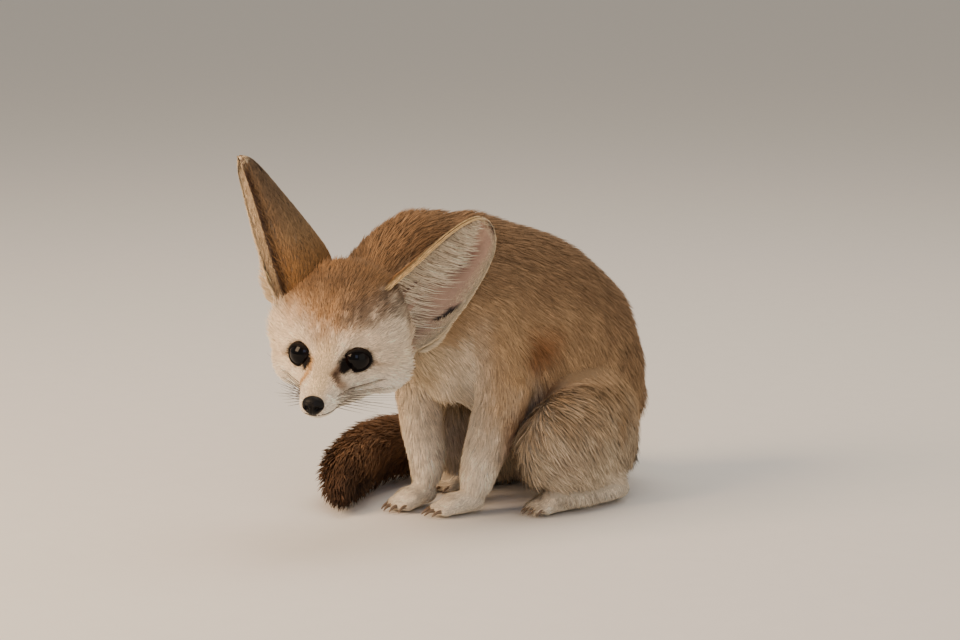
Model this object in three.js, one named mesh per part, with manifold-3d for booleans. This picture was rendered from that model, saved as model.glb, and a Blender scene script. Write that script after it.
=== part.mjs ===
// A fennec fox at life size, sitting with its head held low and turned to its left.
// X is the fox's left, Y runs from its nose to its rump and Z is up, in millimetres.

import * as THREE from "three";
import { mergeVertices } from "three/addons/utils/BufferGeometryUtils.js";
import Module from "manifold-3d";

const wasm = await Module();
wasm.setup();
const { Manifold } = wasm;

// Fit of the nodes
const gap = 0.3; // left between two nodes that meet
const farAway = 1000; // half of a block that cuts everything on one side

// Locks of long hair: the share of the full width at each share of the length, the tip being last
const lockWidths = [
  [0, 0.7],
  [0.35, 1],
  [0.7, 0.75],
  [1, 0],
];
const lockSink = 3; // depth of a root under the surface
const lockFlatness = 0.28; // thickness as a share of the width
const lockEdge = 0.5; // the least half-thickness

// Body: each section is its centre, then its half-width and its half-height
const torsoSections = [
  [0, 62, 50, 30, 35],
  [0, 46, 63, 40, 50],
  [0, 18, 86, 44, 65],
  [0, -10, 107, 44, 64.5],
  [-3, -40, 121, 41, 61],
  [-8, -67, 129, 37, 60],
  [-12, -89, 131, 29, 47],
];
const neckSections = [
  [-10, -62, 160, 25, 27],
  [-14, -88, 157, 28, 32],
  [-13, -114, 144, 27, 30],
  [-6, -137, 130, 25, 27],
];

// Head: its own frame has its origin between the eyes, Y to the back of the skull and Z up
const headPlace = [18.4, -180.3, 112.6];
const headTurn = { yaw: 34, pitch: 16, roll: 3.6 }; // degrees: to its left, down, left side lower
const skullSections = [
  [48, 33, 37, -25],
  [33, 40, 42, -31],
  [16, 41, 39, -33],
  [4, 35, 29, -33],
  [-4, 25, 18, -32],
  [-12, 18, 8, -30],
  [-22, 14, 0, -27.5],
  [-31, 11.8, -5.5, -26],
  [-37, 9.5, -8, -23],
]; // place along the head, half-width, top and bottom
const cheek = { place: [25, 19, -13], size: [17, 21, 17] };
const eye = { place: [15.6, -1, 0.5], radius: 9, turn: 20, raise: 10, detail: [12, 8] };
const lids = { thick: 1.2, wide: 16.5, high: 13, run: 0.6, upper: 1.4, lower: 1.3 };
const nose = { place: [0, -38.5, -13.4], size: [6.4, 4.4, 5] };
const nostril = { out: 3.1, down: 1, radius: 1.3, tall: 1.3, flare: 0.6, rise: 0.6, depth: 2.6 };
const mouth = { height: -19.8, front: -38, back: -10, drop: 1.6, bow: 2.2, lip: 1.5, line: 0.75 };

// Ears: the base, a place that the tip points at, the way that the cup opens, how far the sheet is
// folded, and which of its edges, 1 or -1, is the inner one
const earLength = 91;
const earThickness = 2.4;
const earWidth = 54; // across the rim, at its widest
const earTip = { taper: 2.4, round: 0.36, hold: 0.14 }; // where it narrows, how blunt, how far forward
const earBase = { narrow: 0.78, full: 0.3 }; // share of the width at the base, and where it is whole
const earWrap = { base: 213, tip: 106 }; // degrees that the section goes round
const leftEar = {
  root: [34, 32, 8],
  tip: [69.5, 104.5, 41.5],
  opens: [0.95, -0.45, 0.17],
  fold: 0.82,
  inner: 1,
};
const rightEar = {
  root: [-37, 37.5, 13.8],
  tip: [-73.8, 68.4, 91.1],
  opens: [-0.758, -0.565, -0.326],
  fold: 1.21,
  inner: -1,
};
const earGrid = { along: 9, across: 10 };

// Legs: centre, half-width and half-depth of each section, from the body down
const forelegSections = {
  left: [
    [21, -54, 120, 16, 26],
    [28, -51, 88, 16, 21],
    [24, -56, 58, 13, 16],
    [17, -61, 32, 11, 12],
    [15, -63, 17, 10, 10.5],
  ],
  right: [
    [-30, -66, 114, 15, 24],
    [-33, -68, 84, 14, 19],
    [-29, -70, 56, 11.5, 14],
    [-24, -70, 32, 10, 11.5],
    [-22, -71, 17, 9.5, 10],
  ],
};
const forepaws = {
  left: { heel: [15, -63, 9], toes: [9, -79, 7.5] },
  right: { heel: [-22, -71, 9], toes: [-21, -88, 7.5] },
};
const thighSections = [
  [30, 48, 44, 14, 36],
  [36, 24, 45, 21, 46],
  [42, -6, 44, 22, 43],
  [44, -31, 41, 17, 33],
  [43, -45, 39, 11, 22],
];
const shankSections = [
  [43, -30, 40, 12, 16],
  [45, -2, 28, 12, 14],
  [46, 26, 17, 9, 11],
];
const hindpaw = { heel: [46, 30, 8.4], middle: [47, 0, 7.8], toes: [45, -31, 7.5] };
const paw = { wide: 11.5, heel: 0.8, high: 8, toe: 4.6, toeLong: 7, longer: 3, spread: 4.7, fan: 0.8 };
const claw = { long: 6.5, radius: 1.2, height: 4.4, drop: 2.6 };

// Tail: laid on the floor round the fox's right side, with its bushy end in front. The sections are
// those of the brush, and its core reaches half way out to them
const tailSections = [
  [-4, 66, 28, 14, 14],
  [-26, 86, 19, 16, 16],
  [-66, 78, 18, 20, 20],
  [-93, 30, 22, 25, 25],
  [-96, -18, 24, 27, 27],
  [-86, -62, 25, 28, 27],
  [-67, -98, 21, 23, 23],
  [-38, -128, 12, 4, 4],
];
const widestTail = Math.max(...tailSections.map((section) => section[3]));
const tailCuts = [2, 4.4]; // sections after which the next length begins
const brush = { core: 0.5, coreEnd: 0.93 };
const brushLocks = { first: 0.1, last: 0.84, rows: 8, around: 5, long: 0.15, wide: 28 };

// Long hair elsewhere: places are shares of the length of what it grows from, and turns are in degrees
const haunch = { front: 0.74, back: 0.3, rows: 4, top: 60, bottom: -42, down: 3, run: 0.27, turn: 38 };
const haunchLock = { wide: 13, lift: 4 };
const cheekTufts = { count: 5, front: 0.7, run: 0.2, top: -8, bottom: 62, wide: 10, lift: 4.5 };
const fringe = { count: 6, first: 0.1, last: 0.72, edge: 0.8, across: 0.15, rise: 0.2, reach: 0.72 };
const fringeLock = { wide: 7, lift: 4 };

// Colours
const coats = {
  sand: { color: 0xc9a67c, roughness: 0.95 },
  cream: { color: 0xe4d6bd, roughness: 0.95 },
  ear: { color: 0xc0a084, roughness: 0.9 },
  tail: { color: 0x8a6544, roughness: 0.95 },
  eye: { color: 0x0d0a09, roughness: 0.08 },
  nose: { color: 0x15110f, roughness: 0.4 },
  claw: { color: 0x3a2f28, roughness: 0.5 },
};

const { degToRad: radians, lerp } = THREE.MathUtils;
const axisX = new THREE.Vector3(1, 0, 0);
const axisY = new THREE.Vector3(0, 1, 0);
const axisZ = new THREE.Vector3(0, 0, 1);

function vector(place) {
  return new THREE.Vector3(...place);
}

// A closed three.js geometry as a solid
function solidOf(geometry) {
  const bare = geometry.clone();
  bare.deleteAttribute("normal");
  bare.deleteAttribute("uv");
  const merged = mergeVertices(bare, 1e-4);
  return new Manifold(
    new wasm.Mesh({
      numProp: 3,
      vertProperties: new Float32Array(merged.attributes.position.array),
      triVerts: new Uint32Array(merged.index.array),
    }),
  );
}

function geometryOf(solid) {
  const mesh = solid.getMesh();
  const geometry = new THREE.BufferGeometry();
  geometry.setAttribute("position", new THREE.BufferAttribute(new Float32Array(mesh.vertProperties), 3));
  geometry.setIndex(new THREE.BufferAttribute(new Uint32Array(mesh.triVerts), 1));
  geometry.computeVertexNormals();
  return geometry;
}

// The largest closed surface of a solid, without scraps and sealed hollows
function largest(solid) {
  const pieces = solid.decompose();
  return pieces.reduce((best, piece) => (piece.volume() > best.volume() ? piece : best));
}

function joined(solids) {
  return solids.reduce((whole, solid) => whole.add(solid));
}

function without(solid, cutters) {
  return cutters.reduce((rest, cutter) => rest.subtract(cutter), solid);
}

// A geometry from rings of points, closed by a pole at each end; the rings turn about the way they run
function skinOfRings(rings, firstPole, lastPole) {
  const sides = rings[0].length;
  const points = [...rings.flat(), firstPole, lastPole];
  const first = points.length - 2;
  const last = points.length - 1;
  const faces = [];
  for (let side = 0; side < sides; side += 1) {
    const next = (side + 1) % sides;
    for (let ring = 0; ring < rings.length - 1; ring += 1) {
      const here = ring * sides;
      const there = here + sides;
      faces.push(here + side, here + next, there + side);
      faces.push(here + next, there + next, there + side);
    }
    const end = (rings.length - 1) * sides;
    faces.push(first, next, side);
    faces.push(last, end + side, end + next);
  }
  const geometry = new THREE.BufferGeometry().setFromPoints(points);
  geometry.setIndex(faces);
  return geometry;
}

// A path through sections [x, y, z, half-width, half-height]: the width lies along "across",
// and "along" fixes the way that the sections face where they don't follow the path
function pathOf(sections, { across = axisX, along = null } = {}) {
  const middle = new THREE.CatmullRomCurve3(sections.map(([x, y, z]) => new THREE.Vector3(x, y, z)));
  const sizes = new THREE.CatmullRomCurve3(sections.map(([, , , a, b]) => new THREE.Vector3(a, b, 0)));
  return (share) => {
    const way = along ? along.clone() : middle.getTangent(share);
    const side = across.clone().addScaledVector(way, -across.dot(way)).normalize();
    const size = sizes.getPoint(share);
    const up = way.clone().cross(side);
    return { centre: middle.getPoint(share), way, side, up, wide: size.x, high: size.y };
  };
}

// A ring of points round a place on a path, grown and scaled; a power over 2 makes it squarer
function ringOf({ centre, side, up, wide, high }, { sides, power = 2, grow = 0, scale = 1 }) {
  const ring = [];
  for (let index = 0; index < sides; index += 1) {
    const angle = (index / sides) * 2 * Math.PI;
    const cosine = Math.sign(Math.cos(angle)) * Math.abs(Math.cos(angle)) ** (2 / power);
    const sine = Math.sign(Math.sin(angle)) * Math.abs(Math.sin(angle)) ** (2 / power);
    const point = centre.clone().addScaledVector(side, (wide + grow) * scale * cosine);
    ring.push(point.addScaledVector(up, (high + grow) * scale * sine));
  }
  return ring;
}

// A body along a path with rounded ends, as long as "ends" times its smaller half-size
function loft(sections, options = {}) {
  const { sides = 20, steps = 3, grow = 0, ends = [0.6, 0.6], power = 2, endRings = 2 } = options;
  const path = pathOf(sections, options);
  const count = (sections.length - 1) * steps;
  const capped = (share, turn) => {
    const place = path(share);
    const reach = ends[Math.round(share)] * Math.min(place.wide, place.high) + grow;
    place.centre.addScaledVector(place.way, Math.sin(turn) * reach);
    return { place, ring: ringOf(place, { sides, power, grow, scale: Math.cos(turn) }) };
  };
  const quarter = Math.PI / 2;
  const rings = [];
  for (let index = endRings; index > 0; index -= 1) {
    rings.push(capped(0, (-quarter * index) / (endRings + 1)).ring);
  }
  for (let index = 0; index <= count; index += 1) {
    rings.push(ringOf(path(index / count), { sides, power, grow }));
  }
  for (let index = 1; index <= endRings; index += 1) {
    rings.push(capped(1, (quarter * index) / (endRings + 1)).ring);
  }
  return skinOfRings(rings, capped(0, -quarter).place.centre, capped(1, quarter).place.centre);
}

// Numbers from 0 to 1 that come out the same each time
function seededRandom(seed) {
  let state = seed;
  return () => {
    state = (state * 1664525 + 1013904223) % 4294967296;
    return state / 4294967296;
  };
}

// A flat, tapered lock of hair: "placeAt" gives its middle, and the way out of its flat side, at a
// share of its length
function lock(placeAt, wide) {
  const places = lockWidths.map(([share]) => placeAt(share));
  const tip = places.pop().centre;
  const ways = places.map(({ centre }, index) => {
    const next = index + 1 < places.length ? places[index + 1].centre : tip;
    return next.clone().sub(centre).normalize();
  });
  const rings = places.map(({ centre, away }, index) => {
    const side = away.clone().cross(ways[index]).normalize();
    const up = ways[index].clone().cross(side);
    const half = (wide / 2) * lockWidths[index][1];
    const high = Math.max(half * lockFlatness, lockEdge);
    return ringOf({ centre, side, up, wide: half, high }, { sides: 4 });
  });
  return skinOfRings(rings, places[0].centre.clone().sub(ways[0]), tip);
}

// The surface of a loft at a share of its length and an angle round it, and the way out of it there
function surfaceOf(sections, options) {
  const path = pathOf(sections, options);
  return (share, angle) => {
    const { centre, side, up, wide, high } = path(share);
    const cosine = Math.cos(angle);
    const sine = Math.sin(angle);
    const point = centre.addScaledVector(side, wide * cosine).addScaledVector(up, high * sine);
    const away = side.multiplyScalar(high * cosine).addScaledVector(up, wide * sine).normalize();
    return { point, away };
  };
}

// A lock that lies over a surface from one place on it to another, and rises from it to "lift"
function lockOver(surface, from, to, { wide, lift }) {
  const placeAt = (share) => {
    const { point, away } = surface(lerp(from[0], to[0], share), lerp(from[1], to[1], share));
    const height = share === 0 ? -lockSink : lift * Math.sqrt(share);
    return { centre: point.addScaledVector(away, height), away };
  };
  return lock(placeAt, wide);
}

function ellipsoid(place, size, detail = [16, 10]) {
  const geometry = new THREE.SphereGeometry(1, ...detail);
  geometry.scale(...size);
  geometry.translate(...place);
  return geometry;
}

function mirrored(place) {
  return [-place[0], place[1], place[2]];
}

// The block that holds everything below the floor
function underFloor() {
  const block = new THREE.BoxGeometry(2 * farAway, 2 * farAway, farAway);
  block.translate(0, 0, -farAway / 2);
  return solidOf(block);
}

// Head frame to fox frame
const headMatrix = new THREE.Matrix4().makeRotationFromEuler(
  new THREE.Euler(radians(headTurn.pitch), radians(headTurn.roll), radians(headTurn.yaw), "ZXY"),
);
headMatrix.setPosition(vector(headPlace));

function headSolid(geometry) {
  return solidOf(geometry.applyMatrix4(headMatrix));
}

function torso(grow = 0) {
  return solidOf(loft(torsoSections, { sides: 20, steps: 2, grow, power: 2.1 }));
}

function neckForm(grow = 0) {
  return solidOf(loft(neckSections, { sides: 16, steps: 2, grow }));
}

const skullLoft = skullSections
  .map(([y, wide, top, bottom]) => [0, y, (top + bottom) / 2, wide, (top - bottom) / 2])
  .reverse();

function skullForm(grow = 0) {
  const skull = headSolid(loft(skullLoft, { along: axisY, sides: 20, steps: 2, grow, ends: [0.45, 0.5] }));
  const size = cheek.size.map((radius) => radius + grow);
  const places = [cheek.place, mirrored(cheek.place)];
  const cheeks = places.map((place) => headSolid(ellipsoid(place, size, [14, 8])));
  return joined([skull, ...cheeks]);
}

// Tufts from the back of a cheek, lying back and standing out
function cheekLocks(side) {
  const surface = surfaceOf(skullLoft, { along: axisY });
  const random = seededRandom(31);
  const locks = [];
  for (let index = 0; index < cheekTufts.count; index += 1) {
    const turn = lerp(cheekTufts.top, cheekTufts.bottom, index / (cheekTufts.count - 1));
    const angle = radians(side > 0 ? turn : 180 - turn);
    const front = cheekTufts.front + 0.05 * random();
    const back = front + cheekTufts.run * (0.85 + 0.3 * random());
    locks.push(headSolid(lockOver(surface, [front, angle], [back, angle], cheekTufts)));
  }
  return locks;
}

// Places on the left or the right eye: outwards is turned to the side and raised
function eyeMatrix(side) {
  const matrix = new THREE.Matrix4().makeRotationFromEuler(
    new THREE.Euler(radians(-eye.raise), 0, radians(side * eye.turn), "ZXY"),
  );
  matrix.setPosition(side * eye.place[0], eye.place[1], eye.place[2]);
  return matrix;
}

function eyeBall(side, grow = 0) {
  const radius = eye.radius + grow;
  return headSolid(new THREE.SphereGeometry(radius, ...eye.detail).applyMatrix4(eyeMatrix(side)));
}

// The opening between the lids: two arcs that meet at the corners, carried outwards
function lidOpening(side) {
  const outline = new THREE.Shape();
  const half = lids.wide / 2;
  const run = half * lids.run;
  const above = (lids.high / 2) * lids.upper;
  const below = (lids.high / 2) * lids.lower;
  outline.moveTo(-half, 0);
  outline.bezierCurveTo(-run, above, run, above, half, 0);
  outline.bezierCurveTo(run, -below, -run, -below, -half, 0);
  const depth = 2 * eye.radius;
  const prism = new THREE.ExtrudeGeometry(outline, { depth, bevelEnabled: false, curveSegments: 5 });
  prism.rotateX(Math.PI / 2);
  return headSolid(prism.applyMatrix4(eyeMatrix(side)));
}

function lidShell(side) {
  const radius = eye.radius + gap + lids.thick;
  return headSolid(new THREE.SphereGeometry(radius, ...eye.detail).applyMatrix4(eyeMatrix(side)));
}

function noseForm(grow = 0) {
  const size = nose.size.map((radius) => radius + grow);
  return headSolid(ellipsoid(nose.place, size, [12, 7]));
}

function nostrilHole(side) {
  const [, y, z] = nose.place;
  const front = y - nose.size[1];
  const { out, radius } = nostril;
  const height = z - nostril.down;
  const sections = [
    [side * (out + nostril.flare), front - 1, height, radius, radius * nostril.tall],
    [side * out, front + nostril.depth, height + nostril.rise, radius / 2, radius],
  ];
  const hole = loft(sections, { sides: 6, steps: 1, endRings: 1 });
  return headSolid(hole);
}

// The mouth line, from one corner round the front of the muzzle to the other
function mouthPath(radius) {
  const steps = 4;
  const half = [];
  for (let index = 1; index <= steps; index += 1) {
    const share = index / steps;
    const y = lerp(mouth.front, mouth.back, share);
    half.push([muzzleHalfWidth(y), y, mouth.height - mouth.drop * share, radius, radius]);
  }
  const front = [0, mouth.front - mouth.bow, mouth.height, radius, radius];
  return [...half.map(([x, ...rest]) => [-x, ...rest]).reverse(), front, ...half];
}

function alongMouth(radius) {
  return headSolid(loft(mouthPath(radius), { across: axisZ, sides: 5, steps: 1, endRings: 0 }));
}

// Half-width of the skull at a place along it, at the height of the mouth
function muzzleHalfWidth(y) {
  const after = skullSections.findIndex((section) => section[0] <= y);
  const index = after < 1 ? skullSections.length - 1 : after;
  const [y0, wide0, top0, bottom0] = skullSections[index - 1];
  const [y1, wide1, top1, bottom1] = skullSections[index];
  const share = THREE.MathUtils.clamp((y - y0) / (y1 - y0), 0, 1);
  const wide = wide0 + (wide1 - wide0) * share;
  const top = top0 + (top1 - top0) * share;
  const bottom = bottom0 + (bottom1 - bottom0) * share;
  const level = (mouth.height - (top + bottom) / 2) / ((top - bottom) / 2);
  return wide * Math.sqrt(Math.max(0, 1 - level * level));
}

// The cup of an ear as a bent sheet: a place on its back at a share of its length and of the way
// round, where -1 and 1 are its two edges, and the way out of it there
function earPlace(ear, share, round) {
  const root = vector(ear.root);
  const way = vector(ear.tip).sub(root).normalize();
  const opens = vector(ear.opens);
  opens.addScaledVector(way, -way.dot(opens)).normalize();
  const sideways = opens.clone().cross(way);
  const wrap = radians(lerp(earWrap.base, earWrap.tip, share) * ear.fold) / 2;
  const swell = lerp(earBase.narrow, 1, Math.sin((Math.min(share / earBase.full, 1) * Math.PI) / 2));
  const narrowing = (1 - share ** earTip.taper) ** earTip.round;
  const width = Math.max(earWidth * swell * narrowing, earThickness);
  const radius = width / 2 / Math.sin(Math.min(wrap, Math.PI / 2));
  const angle = wrap * round;
  const away = sideways.multiplyScalar(Math.sin(angle)).addScaledVector(opens, -Math.cos(angle));
  const point = root.addScaledVector(way, earLength * share).addScaledVector(away, radius);
  const chord = radius * Math.cos(wrap);
  point.addScaledVector(opens, chord + earTip.hold * (radius - chord));
  return { point, away, opens, thick: Math.min(earThickness, radius / 2) };
}

function earRings(ear) {
  const rings = [];
  for (let row = 0; row <= earGrid.along; row += 1) {
    const share = Math.sin((row / earGrid.along) * (Math.PI / 2));
    const outer = [];
    const inner = [];
    for (let column = 0; column <= earGrid.across; column += 1) {
      const { point, away, thick } = earPlace(ear, share, 2 * (column / earGrid.across) - 1);
      outer.push(point.clone());
      inner.push(point.addScaledVector(away, -thick));
    }
    rings.push([...outer, ...inner.reverse()]);
  }
  return rings;
}

// Long hairs from the inner edge of the ear, sweeping over the cup and up it
function earFringe(ear) {
  const random = seededRandom(47);
  const locks = [];
  for (let index = 0; index < fringe.count; index += 1) {
    const share = lerp(fringe.first, fringe.last, index / (fringe.count - 1));
    const { point, away, thick, opens } = earPlace(ear, share, ear.inner * fringe.edge);
    const start = point.addScaledVector(away, -thick / 2);
    const over = earPlace(ear, share + fringe.rise, -ear.inner * fringe.across).point;
    const reach = fringe.reach * (0.85 + 0.3 * random());
    const placeAt = (part) => {
      const bow = fringeLock.lift * Math.sin(part * Math.PI * 0.6);
      return { centre: start.clone().lerp(over, part * reach).addScaledVector(opens, bow), away: opens };
    };
    locks.push(headSolid(lock(placeAt, fringeLock.wide * (1.1 - 0.4 * share))));
  }
  return locks;
}

// Rings of a bent sheet: its ends are closed by strips between the two faces
function skinOfSheet(rings) {
  const sides = rings[0].length;
  const faces = [];
  const half = sides / 2;
  for (let ring = 0; ring < rings.length - 1; ring += 1) {
    for (let side = 0; side < sides; side += 1) {
      const next = (side + 1) % sides;
      const here = ring * sides;
      const there = here + sides;
      faces.push(here + side, here + next, there + side);
      faces.push(here + next, there + next, there + side);
    }
  }
  const end = (rings.length - 1) * sides;
  for (let side = 0; side < half - 1; side += 1) {
    const far = sides - 1 - side;
    faces.push(side, far, side + 1, side + 1, far, far - 1);
    faces.push(end + side, end + side + 1, end + far, end + side + 1, end + far - 1, end + far);
  }
  const geometry = new THREE.BufferGeometry().setFromPoints(rings.flat());
  geometry.setIndex(faces);
  return geometry;
}

function earForm(ear) {
  return joined([headSolid(skinOfSheet(earRings(ear))), ...earFringe(ear)]);
}

function mirrorSections(sections) {
  return sections.map(([x, y, z, a, b]) => [-x, y, z, a, b]);
}

function forelegForm(sections, grow = 0) {
  return solidOf(loft(sections, { sides: 14, steps: 2, grow, ends: [0.5, 0.3], endRings: 1 }));
}

function thighForm(side, grow = 0) {
  const turned = side > 0 ? (sections) => sections : mirrorSections;
  const thigh = loft(turned(thighSections), { sides: 16, steps: 2, grow, ends: [0.5, 0.6] });
  const shank = loft(turned(shankSections), { sides: 10, steps: 2, grow, ends: [0.5, 0.6], endRings: 1 });
  return joined([solidOf(thigh), solidOf(shank)]);
}

// A paw from its heel to its toes: the pad and four toes beside one another
function pawForm(places, grow = 0) {
  const sections = places.map(([x, y, z], index) => {
    const share = index / (places.length - 1);
    return [x, y, z, paw.wide * lerp(paw.heel, 1, share), paw.high];
  });
  const pad = solidOf(loft(sections, { sides: 10, steps: 2, grow, ends: [0.7, 0.5], endRings: 1 }));
  const toes = toePlaces(places).map(({ root, tip }) => {
    const sizes = [
      [...root, paw.toe, paw.toe + 0.6],
      [...tip, paw.toe, paw.toe - 0.4],
    ];
    return solidOf(loft(sizes, { sides: 6, steps: 1, grow, ends: [0.8, 1], endRings: 1 }));
  });
  return joined([pad, ...toes]);
}

// Root and tip of each toe; the two middle ones reach further
function toePlaces(places) {
  const toes = vector(places[places.length - 1]);
  const way = toes.clone().sub(vector(places[places.length - 2])).setZ(0).normalize();
  const side = way.clone().cross(axisZ);
  return [-1.5, -0.5, 0.5, 1.5].map((step) => {
    const reach = paw.toeLong + (Math.abs(step) < 1 ? paw.longer : 0);
    const root = toes.clone().addScaledVector(side, step * paw.spread * 0.9).setZ(paw.toe + 1.6);
    const tip = root.clone().addScaledVector(way, reach).addScaledVector(side, step * paw.fan);
    tip.setZ(paw.toe);
    return { root: root.toArray(), tip: tip.toArray(), way };
  });
}

function clawForm(toe, grow = 0) {
  const tip = vector(toe.tip);
  const start = tip.clone().addScaledVector(toe.way, 2).setZ(claw.height);
  const middle = start.clone().addScaledVector(toe.way, claw.long * 0.55).setZ(claw.height - 0.4);
  const end = start.clone().addScaledVector(toe.way, claw.long).setZ(claw.height - claw.drop);
  const sections = [
    [...start.toArray(), claw.radius, claw.radius * 1.3],
    [...middle.toArray(), claw.radius * 0.8, claw.radius],
    [...end.toArray(), claw.radius * 0.3, claw.radius * 0.3],
  ];
  return solidOf(loft(sections, { sides: 5, steps: 1, grow, ends: [0.5, 0.6], endRings: 0 }));
}

// The tail's core, reaching half way to the tips of the brush
function tailCore() {
  const path = pathOf(tailSections, { across: axisZ });
  const count = tailSections.length;
  const sections = tailSections.map((section, index) => {
    const { centre, wide, high } = path((brush.coreEnd * index) / (count - 1));
    return [...centre.toArray(), wide * brush.core, high * brush.core];
  });
  return solidOf(loft(sections, { across: axisZ, sides: 10, steps: 2, ends: [0.7, 0.9] }));
}

// Locks in rings along the tail, from the core out to the brush's sections, each ring turned half
// a step from the last
function tailLocks() {
  const path = pathOf(tailSections, { across: axisZ });
  const random = seededRandom(11);
  const locks = [];
  for (let row = 0; row < brushLocks.rows; row += 1) {
    for (let index = 0; index < brushLocks.around; index += 1) {
      const first = lerp(brushLocks.first, brushLocks.last, (row + 0.3 * random()) / (brushLocks.rows - 1));
      const last = Math.min(first + brushLocks.long * (0.85 + 0.3 * random()), 1);
      const angle = ((index + (row % 2) / 2 + 0.25 * random()) / brushLocks.around) * 2 * Math.PI;
      const tipReach = 0.88 + 0.16 * random();
      const placeAt = (share) => {
        const { centre, side, up, wide, high } = path(lerp(first, last, share));
        const out = side.multiplyScalar(wide * Math.cos(angle));
        out.addScaledVector(up, high * Math.sin(angle));
        const reach = share === 0 ? brush.core * 0.75 : lerp(brush.core, tipReach, share);
        return { centre: centre.addScaledVector(out, reach), away: out.clone().normalize() };
      };
      const { wide, high } = path(first);
      locks.push(solidOf(lock(placeAt, (brushLocks.wide * (wide + high)) / 2 / widestTail)));
    }
  }
  return locks;
}

// The slab that parts the tail after a section, square to its path
function tailCut(section) {
  const { centre, way } = pathOf(tailSections, { across: axisZ })(section / (tailSections.length - 1));
  const slab = new THREE.BoxGeometry(90, 90, gap);
  slab.lookAt(way);
  slab.translate(...centre.toArray());
  return solidOf(slab);
}

// The three lengths of the tail, from its root to its tip
function tailLengths(cutters) {
  const whole = joined([tailCore(), ...tailLocks()]);
  const pieces = without(whole, [...cutters, ...tailCuts.map(tailCut)]).decompose();
  const largestFirst = pieces.sort((one, other) => other.volume() - one.volume());
  const middleOf = (piece) => piece.boundingBox().min[1] + piece.boundingBox().max[1];
  return largestFirst.slice(0, 3).sort((one, other) => middleOf(other) - middleOf(one));
}

// Locks over the outer face of a haunch, lying back and down along it
function haunchLocks(side) {
  const surface = surfaceOf(side > 0 ? thighSections : mirrorSections(thighSections));
  const random = seededRandom(23);
  const locks = [];
  for (let row = 0; row < haunch.rows; row += 1) {
    for (let index = 0; index < haunch.down; index += 1) {
      const share = lerp(haunch.front, haunch.back, (row + 0.4 * random()) / (haunch.rows - 0.6));
      const turn = lerp(haunch.top, haunch.bottom, (index + ((row % 2) + random()) * 0.4) / haunch.down);
      const angles = [turn, turn - haunch.turn].map((angle) => radians(side > 0 ? angle : 180 - angle));
      const from = [share, angles[0]];
      const to = [share - haunch.run, angles[1]];
      locks.push(solidOf(lockOver(surface, from, to, haunchLock)));
    }
  }
  return locks;
}

// Adds a node to the model: its solid without what its neighbours take, in the colour of its coat
function addNode(group, name, coat, solid, cutters = []) {
  const material = new THREE.MeshStandardMaterial({ ...coats[coat], metalness: 0 });
  const mesh = new THREE.Mesh(geometryOf(largest(without(solid, cutters))), material);
  mesh.name = name;
  group.add(mesh);
}

function addHead(group, torsoGrown) {
  const parts = [skullForm(), alongMouth(mouth.lip)];
  const cutters = [alongMouth(mouth.line), noseForm(gap), torsoGrown];
  for (const side of [1, -1]) {
    parts.push(lidShell(side), ...cheekLocks(side));
    cutters.push(eyeBall(side, gap), lidOpening(side));
  }
  addNode(group, "head", "cream", joined(parts), cutters);
  addNode(group, "nose", "nose", noseForm(), [nostrilHole(1), nostrilHole(-1)]);
}

function addPaw(group, name, places, cutters) {
  const toes = toePlaces(places);
  const clawGaps = toes.map((toe) => clawForm(toe, gap));
  addNode(group, name.replace("_", "paw_"), "cream", pawForm(places), [...cutters, ...clawGaps]);
  toes.forEach((toe, index) => addNode(group, `claw_${name}_${index + 1}`, "claw", clawForm(toe)));
}

function fox() {
  const group = new THREE.Group();
  const floor = underFloor();
  const torsoGrown = torso(gap);
  const neckGrown = neckForm(gap);
  const skullGrown = skullForm(gap);
  addNode(group, "torso", "sand", torso(), [floor]);
  addNode(group, "neck", "sand", neckForm(), [torsoGrown, skullGrown]);
  addHead(group, torsoGrown);
  for (const [name, side] of [["left", 1], ["right", -1]]) {
    const ear = side > 0 ? leftEar : rightEar;
    const foreleg = forelegSections[name];
    const hindPlaces = [hindpaw.heel, hindpaw.middle, hindpaw.toes];
    addNode(group, `eye_${name}`, "eye", eyeBall(side));
    addNode(group, `ear_${name}`, "ear", earForm(ear), [skullGrown, neckGrown, torsoGrown]);
    addNode(group, `foreleg_${name}`, "sand", forelegForm(foreleg), [torsoGrown, neckGrown]);
    const { heel, toes } = forepaws[name];
    addPaw(group, `fore_${name}`, [heel, toes], [forelegForm(foreleg, gap), floor]);
    const places = side > 0 ? hindPlaces : hindPlaces.map(mirrored);
    const locks = without(joined(haunchLocks(side)), [pawForm(places, gap)]);
    addNode(group, `hindleg_${name}`, "sand", joined([thighForm(side), locks]), [torsoGrown, floor]);
    addPaw(group, `hind_${name}`, places, [thighForm(side, gap), torsoGrown, floor]);
  }
  const lengths = tailLengths([torsoGrown, floor]);
  ["root", "middle", "tip"].forEach((name, index) => {
    addNode(group, `tail_${name}`, "tail", lengths[index]);
  });
  return group;
}

const group = fox();
const box = new THREE.Box3().setFromObject(group);
const centre = box.getCenter(new THREE.Vector3());
for (const mesh of group.children) {
  mesh.geometry.translate(-centre.x, -centre.y, -box.min.z);
}

export default group;
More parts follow.
